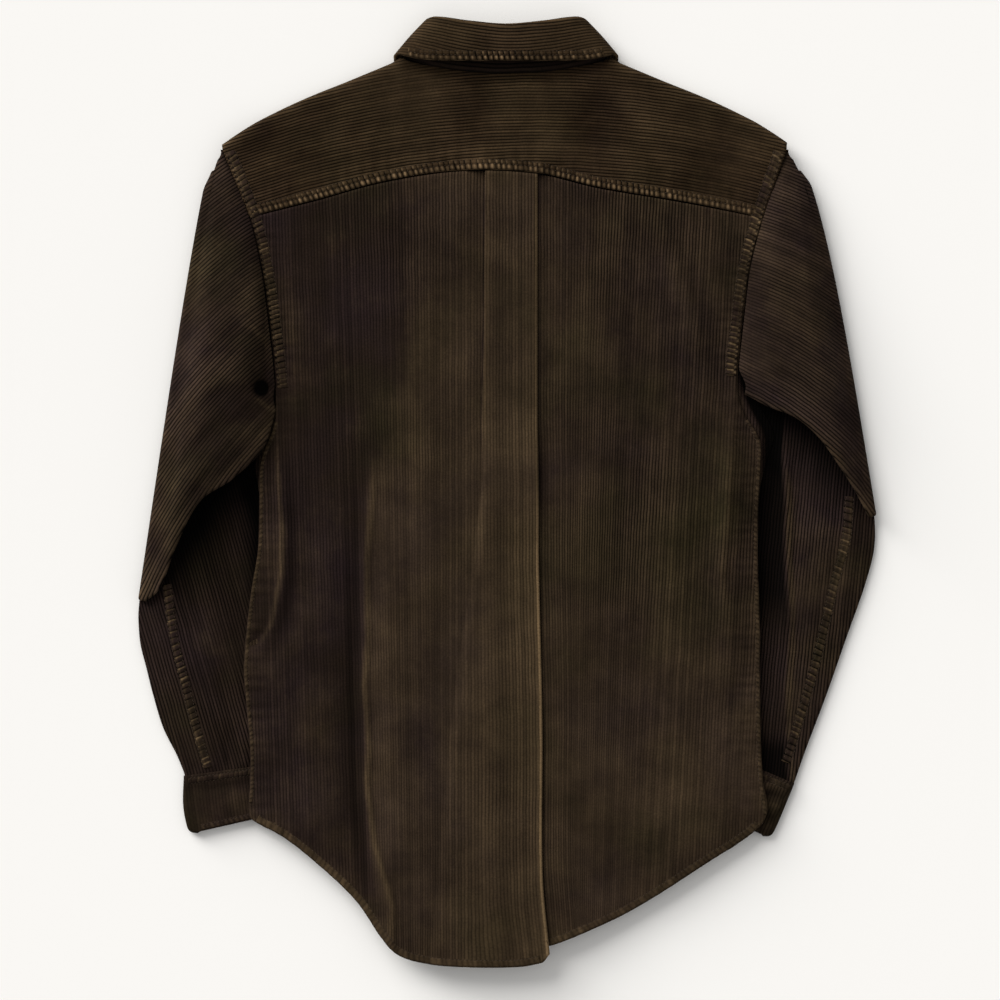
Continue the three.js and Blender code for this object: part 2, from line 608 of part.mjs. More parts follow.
// The stand and the collar run round the neck from one front to the other. The collar starts at the
// top edge of the stand and rolls over it.
function neckBand(profile) {
  const mirrored = COLLAR.slice(1)
    .reverse()
    .map((row) => ({ ...row, seamX: -row.seamX, topX: -row.topX, edgeX: -row.edgeX }));
  const whole = [...mirrored, ...COLLAR].map((row, i) => ({ i, ...row }));
  const read = reader(whole);
  const COLUMNS = (whole.length - 1) * 2;
  const stations = Array.from({ length: COLUMNS + 1 }, (_, j) => {
    const row = read(j / 2);
    const seam = new THREE.Vector3(row.seamX, row.seamY, row.seamZ);
    const top = new THREE.Vector3(row.topX, row.topY, row.topZ);
    const edge = new THREE.Vector3(row.edgeX, row.edgeY, row.edgeZ);
    const onward = new THREE.Vector3().subVectors(top, seam).normalize();
    const outward = new THREE.Vector3(onward.y, -onward.x, 0).normalize();
    if (outward.x * (j - COLUMNS / 2) < 0) outward.negate();
    const face = THREE.MathUtils.degToRad(row.face);
    const facing = outward.multiplyScalar(Math.sin(face));
    facing.z += Math.cos(face);
    return profile(seam, top, edge, onward, facing);
  });
  return clothWall(
    stations[0].map((_, k) => stations.map((line) => line[k])),
    DOUBLE,
  );
}

const standProfile = (seam, top) => [0, 0.5, 1].map((t) => seam.clone().lerp(top, t));

function collarProfile(seam, top, edge, onward, facing) {
  const place = (on, up) => top.clone().addScaledVector(onward, on).addScaledVector(facing, up);
  const turned = [place(SEAM, 0)];
  for (let k = 0; k <= 4; k += 1) {
    const a = (Math.PI * k) / 4;
    turned.push(place(ROLL_OUT + ROLL_RADIUS * Math.sin(a), ROLL_RADIUS * (1 - Math.cos(a))));
  }
  const last = turned[turned.length - 1];
  return [...turned, last.clone().lerp(edge, 0.5), edge];
}

function button() {
  const RIM = 1.4;
  const profile = [
    new THREE.Vector2(0, 0.6),
    new THREE.Vector2(BUTTON_RADIUS - RIM - 0.6, 0.6),
    new THREE.Vector2(BUTTON_RADIUS - RIM, 0),
    new THREE.Vector2(BUTTON_RADIUS - 0.5, 0),
    new THREE.Vector2(BUTTON_RADIUS, 0.8),
    new THREE.Vector2(BUTTON_RADIUS - 1, BUTTON_THICK),
    new THREE.Vector2(0, BUTTON_THICK),
  ];
  return new THREE.LatheGeometry(profile, 14).rotateX(Math.PI / 2);
}

const jacket = new THREE.Group();
function add(name, geometry, material) {
  const mesh = new THREE.Mesh(geometry, material);
  mesh.name = name;
  jacket.add(mesh);
  return mesh;
}

add("back", backPanel(), CORDUROY);
add("yoke", yoke(), CORDUROY);
add("front_left", frontPanel(-1, LEFT_BAND_LIFT), CORDUROY);
add("front_right", frontPanel(1, RIGHT_BAND_LIFT), CORDUROY);
add("sleeve_left", sleeve(SLEEVE_LEFT, -1), CORDUROY);
add("sleeve_right", sleeve(SLEEVE_RIGHT, 1), CORDUROY);
add("cuff_left", cuff(CUFF_LEFT, -1), CORDUROY);
add("cuff_right", cuff(CUFF_RIGHT, 1), CORDUROY);
add("collar_stand", neckBand(standProfile), CORDUROY);
add("collar", neckBand(collarProfile), CORDUROY);
for (let i = 0; i < BUTTON_COUNT; i += 1) {
  add(`button_${i + 1}`, button(), BUTTON).position.set(0, FIRST_BUTTON_Y - i * BUTTON_PITCH, 0);
}

// The origin is the centre of the overall box, on the surface that the jacket lies on.
const box = new THREE.Box3().setFromObject(jacket, true);
const centre = box.getCenter(new THREE.Vector3());
jacket.position.set(-centre.x, -centre.y, -box.min.z);

export default jacket;
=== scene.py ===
"""A corduroy overshirt laid out flat, front down, with its cloth, seams and stitches."""

import math

import bmesh
import bpy
import numpy as np
from mathutils import Matrix, Vector
from mathutils.bvhtree import BVHTree


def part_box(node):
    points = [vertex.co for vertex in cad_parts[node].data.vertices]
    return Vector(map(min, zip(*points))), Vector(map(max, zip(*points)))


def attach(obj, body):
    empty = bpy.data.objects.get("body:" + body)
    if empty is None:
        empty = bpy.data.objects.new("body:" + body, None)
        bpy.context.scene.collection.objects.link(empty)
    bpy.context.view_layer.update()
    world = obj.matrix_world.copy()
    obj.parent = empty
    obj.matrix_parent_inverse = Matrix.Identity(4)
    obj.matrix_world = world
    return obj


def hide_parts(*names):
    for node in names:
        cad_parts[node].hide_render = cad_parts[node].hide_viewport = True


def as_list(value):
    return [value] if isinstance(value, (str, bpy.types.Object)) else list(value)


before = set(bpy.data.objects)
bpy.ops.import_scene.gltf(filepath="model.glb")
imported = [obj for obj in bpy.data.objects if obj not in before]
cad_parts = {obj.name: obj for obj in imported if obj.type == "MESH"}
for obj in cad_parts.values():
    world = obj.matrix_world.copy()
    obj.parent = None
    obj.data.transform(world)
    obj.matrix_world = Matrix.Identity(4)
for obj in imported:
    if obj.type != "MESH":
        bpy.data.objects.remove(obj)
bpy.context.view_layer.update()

# Lengths are in millimetres, as a cutter would write them, and become metres in the meshes.
MM = 0.001
CLOTH = 1.8
DOUBLE = 2.6
SEAM = 0.4
LAYER = CLOTH + SEAM
BACK_HEIGHT = 11.5
SEAM_HEIGHT = 10
FRONT_HEIGHT = 0.9
SIDE_LIFT = 6.8
LEFT_BAND_LIFT = 3.3
RIGHT_BAND_LIFT = 5.8
RIDGE_HEIGHT = 6.5
NECK_HEIGHT = 13.2
YOKE_UNDER = 31.5
FRONT_LAP = 36
FRONT_SHORTER = 14
FRONT_SIDE_Y = 259
YOKE_SIDE_Y = 234
SIDE_END_LEFT_Y = -276
SIDE_END_RIGHT_Y = -283
CREASE_RADIUS = 4.3
ARMHOLE_GAP = 0.9
ROLL_OUT = 3.2
ROLL_RADIUS = 2.1
BUTTON_RADIUS = 7.5
BUTTON_THICK = 2.9
FIRST_BUTTON_Y = 258
BUTTONS = 7
BUTTON_PITCH = 88
WALE = 2.7

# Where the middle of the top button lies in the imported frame, so that both frames agree.
button_low, button_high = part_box("button_1")
SHIFT = np.array(
    [
        (button_low.x + button_high.x) / 2 / MM,
        (button_low.y + button_high.y) / 2 / MM - FIRST_BUTTON_Y,
        0.0,
    ]
)

# The edge of the body: y, left, right.
BODY_EDGE = [
    (-300, -209, 203), (-280, -215, 221), (-268, -219, 222), (-250, -218, 219),
    (-215, -218, 217), (-155, -223, 216), (-120, -221, 216), (-84, -217, 215),
    (-46, -211, 214), (-9, -210, 215), (27, -209, 217), (45, -202, 216),
    (64, -196, 205), (82, -195.5, 198), (100, -196.5, 197), (128, -199.5, 199.5),
    (188, -208, 207.5), (235, -219, 219.5), (291, -241, 238.5),
]
# Lines across the body: x, y.
HEM_LEFT = [
    (-230, -268), (-214, -280), (-190, -293), (-164, -313), (-128, -347), (-104, -381),
    (-92, -393), (-70, -400), (-40, -403), (12, -403), (34, -399),
]
HEM_RIGHT = [(0, -392), (36, -386), (88, -365), (120, -348), (173, -314), (207, -292), (230, -270)]
YOKE_SEAM = [
    (-236, 229), (-209, 236), (-158, 249), (-107, 263), (-41, 273), (25, 271), (77, 259),
    (148, 247), (215, 234), (236, 229),
]
SHOULDER = [
    (0, 356.5), (40, 358.5), (70, 363.5), (84, 366.5), (92, 366), (110, 359), (131, 350.5),
    (173, 333.5), (208, 316.5), (228, 304), (241, 295),
]
FRONT_TOP = [
    (0, 281), (20, 285.5), (40, 298), (58, 315), (76, 329), (84, 328.5), (102, 322),
    (124, 316), (145, 308), (165, 299.5), (184, 291), (203, 280.5), (214, 272), (227, 259),
]
# The folds of the box pleat: y, left edge, cloth under it, its turn, its radius, right edge,
# cloth under it.
PLEAT = [
    (-400, -60, 6, 16, 7, 35.2, 26), (-330, -53.7, 6, 16, 7, 29.2, 25),
    (-200, -42, 6, 16, 7, 29, 23), (-60, -25, 5, 24, 6, 26, 20), (0, -21, 4, 80, 2, 26, 19),
    (60, -19, 5, 170, 1.1, 25, 18), (130, -17, 12, 180, 1.1, 25, 18),
    (272, -16, 18, 180, 1.1, 25, 18),
]
# Inner edge of the sleeve below the body: y, left, right.
INNER_SLEEVE = [
    (-300, 162, 122), (-252, 164, 124), (-205, 172, 144), (-120, 190, 169), (-30, 203, 194),
    (40, 206, 204), (100, 196, 197), (235, 219, 218), (300, 240, 238),
]
# Sections of the upper sleeves: shoulder edge x, y, z, underarm edge x, y, z, hug, bow, bulge of
# the upper side and of the lower side.
SLEEVE_LEFT_ABOVE = [
    (-241.9, 291.5, 9.8, -196.5, 70, 9.6, 1, 0, 3, 0),
    (-242.7, 288.5, 10.4, -207.5, 37, 17, 0.6, 0, 8, -4),
    (-243.6, 285.5, 10.8, -233, 11.5, 21, 0.3, 0, 11, -6),
    (-244.7, 282, 10.8, -261, -8, 22, 0, 0, 10, -5),
    (-245.9, 278.5, 10.8, -281, -46, 18, 0, -1, 7, -3),
    (-247.0, 275, 10.8, -294, -80, 13.5, 0, -2, 3, -1),
    (-247.4, 273, 10.8, -306.8, -92, 10.8, 0, -2.6, 0, 0),
]
SLEEVE_RIGHT_ABOVE = [
    (239.9, 291.5, 9.8, 203.5, 84, 9.6, 1, 0, 3, 0),
    (240.9, 288.5, 10.4, 224, 73, 17, 0.6, 0, 8, -4),
    (242.3, 285.5, 10.8, 246, 64, 21, 0.3, 0, 11, -6),
    (243.8, 282, 10.8, 266, 47, 22, 0, -2, 10, -5),
    (245.3, 278.5, 10.8, 282, 25, 20, 0, -3.5, 7, -3),
    (246.9, 275, 10.8, 297, 2, 15, 0, -5.5, 3, -1),
    (247.6, 273, 10.8, 309, -20.5, 10.8, 0, -6.6, 0, 0),
]
# Sections of the lower sleeves: inner edge x, y, outer edge x, y, height, bow, bulge.
SLEEVE_LEFT_BELOW = [
    (-247.4, 273, -311.6, -93, 2.2, -2.6, 0), (-234, 206, -312.4, -104, 2.2, -2.2, 0.8),
    (-225, 130, -312, -116, 2.2, 0, 3), (-216, 50, -310.4, -131, 2.2, 0, 5),
    (-206, -30, -306, -148, 2.2, 0, 5), (-195, -105, -300, -172, 2.2, 0, 5),
    (-184, -165, -291.5, -200, 2.2, 0, 4.5), (-175, -205, -280, -223, 2.4, 0, 2.5),
    (-168, -226, -273, -240.5, 2.7, 0, 0), (-167.6, -231, -273.2, -245.5, 3, 0, 0),
]
SLEEVE_RIGHT_BELOW = [
    (247.6, 273, 313, -21.5, 2.2, -6.6, 0), (232, 212, 313.6, -31, 2.2, -6, 0.8),
    (223, 145, 313.4, -42, 2.2, -4, 2), (213, 75, 311.2, -57, 2.2, 0, 5),
    (201, 5, 303.4, -84, 2.2, 0, 5), (187, -60, 289.5, -123, 2.2, 0, 4),
    (171, -120, 272, -173, 2.2, 0, 2), (157, -170, 255, -218, 2.4, 0, 1.5),
    (146, -205, 245, -246.5, 2.7, 0, 0), (144, -210, 243, -251.5, 3, 0, 0),
]
# Sections of the cuffs: inner edge x, y, outer edge x, y.
CUFF_LEFT = [
    (-166.9, -226.9, -273.4, -241.4), (-165.5, -247, -274, -265), (-164.5, -260, -271.2, -282.5),
    (-164, -265, -268.3, -288), (-164, -267, -262.5, -289.2),
]
CUFF_RIGHT = [
    (145.6, -205.9, 244.6, -247.5), (136, -229, 235, -271), (128, -246, 228, -287),
    (125.8, -250.4, 224.5, -291.4), (125, -252, 219, -291.8),
]
# Half of the collar: seam x, y, z, top of the stand x, y, z, free edge x, y, z, and its facing.
COLLAR = [
    (0, 357.2, 14, 0, 391.5, 17.6, 0, 366.5, 19.9, 0),
    (34, 358.8, 13.8, 31, 394, 17.6, 38, 366.5, 19.7, 0),
    (62, 363.2, 13.4, 52, 397, 17, 70, 367.5, 18.7, 8),
    (80, 369, 12.3, 63, 397.5, 14.5, 85.5, 370.5, 16.4, 35),
    (86, 372.5, 9.4, 68, 393.5, 10.6, 93, 372.5, 9.4, 90),
    (80.5, 365.5, 6.8, 67, 386, 7.2, 95, 364, 2, 150),
    (74, 341, 6, 55, 362, 6.2, 90, 326, 1.6, 180),
    (46, 307, 5.8, 32, 331, 6, 73, 284, 1.6, 180),
    (3, 285, 5.8, 4, 312, 6, 54, 254, 1.6, 180),
]


def ease(t):
    t = np.clip(t, 0.0, 1.0)
    return t * t * (3 - 2 * t)


def mix(a, b, t):
    return a + (b - a) * t


def bell(off, width):
    return np.exp(-((off / width) ** 2))


def shares(count):
    return np.linspace(0, 1, count + 1)[1:]


def curve(rows):
    """Reads a table at any value of its first column, on a smooth curve through its rows."""
    table = np.array(rows, float)
    keys, values = table[:, 0], table[:, 1:]
    last = len(keys) - 1
    before = np.maximum(np.arange(last + 1) - 1, 0)
    after = np.minimum(np.arange(last + 1) + 1, last)
    slopes = (values[after] - values[before]) / (keys[after] - keys[before])[:, None]

    def read(value):
        at = np.clip(np.asarray(value, float), keys[0], keys[-1])
        i = np.clip(np.searchsorted(keys, at, side="left") - 1, 0, last - 1)
        step = (keys[i + 1] - keys[i])[..., None]
        t = (at - keys[i])[..., None] / step
        found = (
            (2 * t**3 - 3 * t**2 + 1) * values[i]
            + (t**3 - 2 * t**2 + t) * slopes[i] * step
            + (3 * t**2 - 2 * t**3) * values[i + 1]
            + (t**3 - t**2) * slopes[i + 1] * step
        )
        return [found[..., k] for k in range(values.shape[1])]

    return read


def numbered(rows):
    return [(i, *row) for i, row in enumerate(rows)]


body_edge = curve(BODY_EDGE)
hem_left = curve(HEM_LEFT)
hem_right = curve(HEM_RIGHT)
yoke_seam = curve(YOKE_SEAM)
shoulder = curve(SHOULDER)
front_top = curve(FRONT_TOP)
pleat = curve(PLEAT)
inner_sleeve = curve(INNER_SLEEVE)


# Soft relief of the cloth.


def waves(x, y, seed, length, lean=0.0):
    """Slow, uneven ups and downs between about -1 and 1, longest across `lean`."""
    rng = np.random.default_rng(seed)
    total = np.zeros_like(x, dtype=float)
    for _ in range(7):
        angle = lean + rng.normal(0, 0.55)
        wave = length * (0.6 + 0.9 * rng.random())
        phase = rng.random() * 2 * math.pi
        along = x * math.cos(angle) + y * math.sin(angle)
        total += np.sin(2 * math.pi * along / wave + phase) * (0.5 + rng.random())
    return total / 5.0


def fold(x, y, route, width, height, lean=0.0):
    """Rise of one fold of the cloth along a route of (x, y, strength), steeper on one side."""
    best = np.full(np.shape(x), 1e9)
    rise = np.zeros(np.shape(x))
    for (x0, y0, s0), (x1, y1, s1) in zip(route, route[1:]):
        dx, dy = x1 - x0, y1 - y0
        size = math.hypot(dx, dy)
        t = np.clip(((x - x0) * dx + (y - y0) * dy) / size**2, 0, 1)
        off_x, off_y = x - (x0 + dx * t), y - (y0 + dy * t)
        away = np.hypot(off_x, off_y)
        side = np.sign(off_x * dy - off_y * dx)
        near = away < best
        best = np.where(near, away, best)
        reach = width * (1 + lean * side)
        shape = bell(away, reach) * mix(s0, s1, t)
        rise = np.where(near, shape, rise)
    return height * rise


def folds(x, y, table):
    return sum(fold(x, y, *entry) for entry in table)


def gathers(along, away, pitch, reach, height, seed):
    """Small puckers that a line of stitches pulls into the cloth beside it."""
    rng = np.random.default_rng(seed)
    rise = np.zeros(np.shape(along))
    for k in range(5):
        wave = pitch * (0.6 + 0.8 * rng.random())
        phase = 6.3 * rng.random() + 0.6 * np.sin(along / 37 + k)
        rise += np.sin(2 * math.pi * along / wave + phase)
    return height * rise / 3 * np.exp(-((np.maximum(away, 0) / reach) ** 1.5))


# Route, width, height and lean of each fold of the body.
BODY_FOLDS = [
    ([(-112, 40, 0), (-113, 2, 0.7), (-118.5, -57, 1), (-116.8, -122, 0.8), (-120, -165, 1),
      (-116, -220, 0.9), (-118.5, -245, 1), (-111.7, -298, 0.8), (-96, -353, 0.8),
      (-98, -390, 0.5)], 3.4, 2.4, 0.3),
    ([(-124, 30, 0), (-128, -60, 0.8), (-130, -170, 1), (-128, -260, 0.9), (-118, -320, 0.8),
      (-108, -360, 0.4)], 7.5, -2.6, 0),
    ([(-195, 40, 0.3), (-194.4, 28, 0.8), (-190, -32, 1), (-191, -69, 1), (-199.5, -113, 0.9),
      (-210, -130, 0.5), (-217, -134, 0.2)], 6, 3.2, -0.72),
    ([(-204, -118, 0.6), (-213, -128, 1), (-218, -132, 0.6)], 7, -3.6, 0),
    ([(-184, 30, 0), (-180, -30, 0.8), (-182, -80, 0.8), (-192, -124, 0.4)], 6, -1.6, 0),
    ([(-205, -190, 0), (-196, -150, 0.8), (-170, -110, 0.5), (-150, -60, 0)], 9, 1.3, 0.2),
    ([(196, 70, 0.3), (194.4, 46, 0.9), (189.3, -19, 1), (184.2, -73, 0.9),
      (190, -110, 0.3)], 6, 2.8, 0.72),
    ([(186, 60, 0), (180, -10, 0.8), (175, -80, 0.8), (180, -120, 0)], 7, -1.8, 0),
    ([(114, 249, 0), (140, 215, 0.8), (157, 165, 1), (168, 110, 0.6), (172, 60, 0)], 7, 1.8, 0.3),
    ([(100, 240, 0), (124, 205, 0.8), (142, 155, 0.9), (150, 100, 0)], 8, -1.5, 0),
    ([(156, 224, 0), (172, 190, 1), (195, 138, 0.8), (199, 110, 0)], 10, 1.8, 0.2),
    ([(140, 214, 0), (158, 178, 0.8), (180, 130, 0.7), (190, 95, 0)], 10, -1.1, 0),
    ([(-196, 190, 0), (-178, 150, 0.9), (-172, 100, 0.6), (-180, 60, 0)], 10, 1.4, 0.2),
    ([(-150, 236, 0), (-146, 180, 0.7), (-150, 110, 0.5), (-152, 50, 0)], 14, 1.0, 0),
    ([(70, 240, 0), (74, 150, 0.5), (70, 20, 0.8), (66, -140, 0.9), (72, -270, 0.5),
      (78, -340, 0)], 17, 1.3, 0.2),
    ([(108, 60, 0), (106, -60, 0.7), (112, -190, 1), (118, -300, 0.5),
      (116, -335, 0)], 15, -1.3, 0),
    ([(150, 20, 0), (146, -90, 0.8), (150, -210, 1), (158, -300, 0.6)], 15, 1.5, 0.1),
    ([(-160, -120, 0), (-163, -200, 0.8), (-158, -280, 0.8), (-148, -325, 0.2)], 13, 1.4, 0),
    ([(-70, 240, 0), (-74, 120, 0.6), (-78, 0, 0.5), (-84, -100, 0)], 15, 1.0, 0),
    ([(-56, -60, 0), (-62, -160, 0.8), (-66, -260, 1), (-60, -360, 0.4)], 13, -1.2, 0),
    ([(-86, -80, 0), (-90, -180, 0.6), (-88, -290, 0.9), (-80, -380, 0.5)], 12, 1.1, 0),
    ([(214, -160, 0), (196, -196, 0.8), (170, -228, 0.4), (150, -250, 0)], 8, 1.2, 0.2),
]
YOKE_FOLDS = [
    ([(72, 350, 0), (101, 315, 1), (127, 274, 0.7)], 8, -2.2, 0.2),
    ([(92, 352, 0), (120, 318, 0.8), (146, 276, 0.5)], 9, 1.5, 0),
    ([(0, 350, 0), (-4, 315, 0.6), (-2, 282, 0.4)], 8, 1.2, 0),
    ([(-20, 350, 0), (-24, 315, 0.8), (-26, 282, 0.4)], 7, -1.1, 0),
    ([(24, 350, 0), (22, 320, 0.7), (26, 284, 0.4)], 7, -1.1, 0),
    ([(-110, 340, 0), (-128, 300, 0.8), (-140, 262, 0.4)], 9, -1.5, 0),
    ([(-60, 352, 0), (-110, 322, 0.8), (-170, 296, 0.7), (-205, 280, 0)], 12, 1.1, 0.2),
    ([(60, 352, 0), (104, 322, 0.9), (160, 300, 0.6), (206, 284, 0)], 12, 1.2, -0.2),
    ([(-40, 345, 0), (-60, 310, 0.7), (-90, 280, 0)], 14, -0.9, 0),
    ([(36, 345, 0), (62, 315, 0.8), (92, 282, 0)], 14, -0.9, 0),
    ([(-30, 280, 0), (-10, 300, 0.6), (20, 302, 0.6), (50, 284, 0)], 13, 0.9, 0),
]
SLEEVE_LEFT_FOLDS = [
    ([(-204, 92, 0), (-232, 96, 0.9), (-262, 84, 0.7), (-286, 58, 0)], 9, 2.2, 0.3),
    ([(-206, 66, 0), (-232, 60, 0.9), (-258, 42, 0.8), (-284, 8, 0)], 8, -2.0, 0),
    ([(-214, 130, 0), (-240, 142, 0.7), (-262, 130, 0.6), (-276, 112, 0)], 11, 1.3, 0.2),
    ([(-238, 30, 0), (-262, 16, 1), (-284, -16, 0.7), (-298, -50, 0)], 7, 1.8, 0.2),
    ([(-218, 190, 0), (-236, 202, 0.8), (-250, 214, 0)], 10, -1.1, 0),
    ([(-294, -80, 1), (-303, -88, 0.9), (-313, -95, 0.4)], 4, -2.4, 0),
    ([(-292, -40, 0), (-299, -68, 0.8), (-306, -86, 0.3)], 5, 1.6, 0),
]
FOREARM_LEFT_FOLDS = [
    ([(-292, -112, 0), (-270, -122, 0.8), (-240, -138, 0.8), (-216, -160, 0)], 9, 1.8, 0.2),
    ([(-300, -140, 0), (-276, -160, 0.7), (-246, -176, 0.6), (-222, -192, 0)], 8, -1.4, 0),
    ([(-262, -40, 0), (-256, -90, 0.8), (-248, -150, 0.8), (-240, -210, 0)], 9, 1.4, 0.2),
    ([(-238, -20, 0), (-230, -70, 0.9), (-224, -130, 0.7), (-222, -190, 0)], 8, -1.6, 0),
    ([(-250, -232, 1), (-254, -214, 0.6), (-258, -196, 0)], 4, 1.5, 0),
    ([(-236, -230, 1), (-238, -212, 0.6), (-238, -198, 0)], 4, -1.4, 0),
    ([(-222, -229, 1), (-224, -210, 0.6), (-222, -192, 0)], 5, 1.6, 0),
    ([(-266, -234, 1), (-272, -218, 0.7), (-278, -204, 0)], 4, -1.2, 0),
]
SLEEVE_RIGHT_FOLDS = [
    ([(208, 104, 0), (232, 108, 0.9), (262, 96, 0.8), (288, 66, 0)], 9, 2.2, -0.3),
    ([(212, 82, 0), (236, 82, 0.8), (262, 68, 0.9), (286, 40, 0)], 7, -1.8, 0),
    ([(214, 150, 0), (236, 164, 0.7), (258, 156, 0.6), (274, 132, 0)], 11, 1.2, 0.2),
    ([(262, 50, 0), (282, 30, 1), (298, 4, 0.7), (306, -14, 0)], 6, 1.6, 0.2),
    ([(218, 200, 0), (234, 214, 0.7), (246, 224, 0)], 10, -1.0, 0),
]
FOREARM_RIGHT_FOLDS = [
    ([(236, 60, 0), (239, 20, 0.8), (240, -50, 1), (240, -130, 0.9),
      (238, -190, 0.4)], 5, 2.6, 0.4),
    ([(262, 30, 0), (268, -10, 0.8), (266, -60, 0.8), (258, -120, 0)], 9, 1.5, 0.2),
    ([(284, -20, 0), (284, -60, 0.7), (274, -100, 0.5), (262, -150, 0)], 7, -1.4, 0),
    ([(252, -228, 1), (258, -204, 0.7), (262, -180, 0)], 4, 1.6, 0),
    ([(243, -226, 1), (248, -206, 0.7), (250, -180, 0)], 4, -1.4, 0),
]

CUFF_LEFT_FOLDS = [
    ([(-272, -252, 0.4), (-250, -252, 1), (-222, -247, 0.7), (-190, -243, 0)], 4, -0.9, 0.2),
    ([(-268, -268, 0), (-240, -266, 0.8), (-205, -256, 0.8), (-172, -252, 0)], 7, 0.7, 0),
]
CUFF_RIGHT_FOLDS = [
    ([(214, -250, 1), (228, -249, 1), (242, -254, 0.5)], 2.6, 1.5, 0.2),
    ([(212, -257, 1), (226, -257, 1), (240, -262, 0.4)], 2.4, -1.6, 0),
    ([(212, -264, 1), (225, -266, 1), (238, -270, 0.5)], 2.8, 1.4, 0.2),
    ([(211, -272, 0.8), (223, -276, 1), (233, -279, 0.4)], 2.6, -1.3, 0),
    ([(212, -282, 0.6), (220, -284, 0.9), (229, -286, 0.5)], 3.2, 1.0, 0),
]


def back_height(x, y, carried):
    left, right = body_edge(y)
    inset = np.where(x < 0, x - left, right - x)
    side = (BACK_HEIGHT - SEAM_HEIGHT) * (1 - ease(inset / 45))
    ridge = carried * ease((x + 124) / 28) * (1 - 0.5 * ease((x + 20) / 50)) * ease((90 - y) / 240)
    left_fold = 4 * bell(x + 190, 12) * ease((40 - y) / 50) * ease((y + 140) / 70)
    right_fold = 4 * bell(x - 190, 13) * ease((60 - y) / 50) * ease((y + 200) / 110)
    rise = 1.5 * ease((y - 180) / 100)
    return BACK_HEIGHT - side + RIDGE_HEIGHT * ridge + left_fold + right_fold + rise


def front_height(x, y, centre_lift):
    left, right = inner_sleeve(y)
    inner = np.where(x < 0, left, right)
    side = SIDE_LIFT * ease((np.abs(x) - (inner - 44)) / 34)
    centre = centre_lift * ease((50 - np.abs(x)) / 30)
    collar = 3.4 * ease((146 - np.abs(x)) / 44) * ease((y - 205) / 35)
    return FRONT_HEIGHT + np.maximum(side, np.maximum(centre, collar))


# Meshes of the cloth pieces.
made = {}


def finished(name, made_of):
    mesh = bpy.data.meshes.new(name)
    made_of.to_mesh(mesh)
    made_of.free()
    mesh.shade_smooth()
    piece = bpy.data.objects.new(name, mesh)
    bpy.context.collection.objects.link(piece)
    return piece


def cloth_sheet(name, points, cloth, wear_and_painted_light, tint, thick, closed=False, flip=False, crisp=1.0):
    """A sheet whose rows of points, in millimetres, are laid on a grid. `cloth` holds each point's
    place on the flat cloth, across and along its wales."""
    rows, columns = points.shape[:2]
    grid = bmesh.new()
    bmesh.ops.create_grid(grid, x_segments=columns - 1, y_segments=rows - 1, size=1.0)
    mesh = bpy.data.meshes.new(name)
    grid.to_mesh(mesh)
    grid.free()
    count = len(mesh.vertices)
    flat = np.empty(count * 3)
    mesh.vertices.foreach_get("co", flat)
    flat = flat.reshape(-1, 3)
    j = np.rint((flat[:, 0] + 1) / 2 * (columns - 1)).astype(int)
    i = np.rint((flat[:, 1] + 1) / 2 * (rows - 1)).astype(int)
    placed = (points[i, j] + SHIFT) * MM
    mesh.vertices.foreach_set("co", placed.ravel())
    layer = mesh.uv_layers.new(name="cloth")
    corner = np.empty(len(mesh.loops), int)
    mesh.loops.foreach_get("vertex_index", corner)
    layer.data.foreach_set("uv", (cloth[i, j][corner] * MM).ravel())
    # Each point's wear with its painted highlights and painted shade, its tint and the crispness of
    # its wales.
    for label, value in (("wear_and_painted_light", wear_and_painted_light), ("tint", tint), ("crisp", crisp)):
        attribute = mesh.attributes.new(label, "FLOAT", "POINT")
        attribute.data.foreach_set("value", np.broadcast_to(value, (rows, columns))[i, j])
    if flip:
        mesh.flip_normals()
    if closed:
        tube = bmesh.new()
        tube.from_mesh(mesh)
        bmesh.ops.remove_doubles(tube, verts=tube.verts, dist=0.02 * MM)
        tube.to_mesh(mesh)
        tube.free()
    mesh.shade_smooth()
    piece = bpy.data.objects.new(name, mesh)
    bpy.context.collection.objects.link(piece)
    wall = piece.modifiers.new("wall", "SOLIDIFY")
    wall.thickness = thick * MM
    wall.offset = 0
    wall.use_rim = True
    made[name] = piece
    return piece


def surface_of(*names):
    """The upper surfaces of some pieces, to lay a seam on: height of the cloth above a point."""
    trees = []
    for name in names:
        mesh = made[name].data
        corners, faces = [v.co for v in mesh.vertices], [p.vertices for p in mesh.polygons]
        tree = BVHTree.FromPolygons(corners, faces)
        trees.append((tree, made[name].modifiers["wall"].thickness / 2 / MM))

    def height(x, y):
        best = None
        for tree, half in trees:
            start = Vector(((x + SHIFT[0]) * MM, (y + SHIFT[1]) * MM, 0.2))
            hit = tree.ray_cast(start, Vector((0, 0, -1)))[0]
            if hit is not None:
                top = hit.z / MM + half
                best = top if best is None else max(best, top)
        return best

    return height


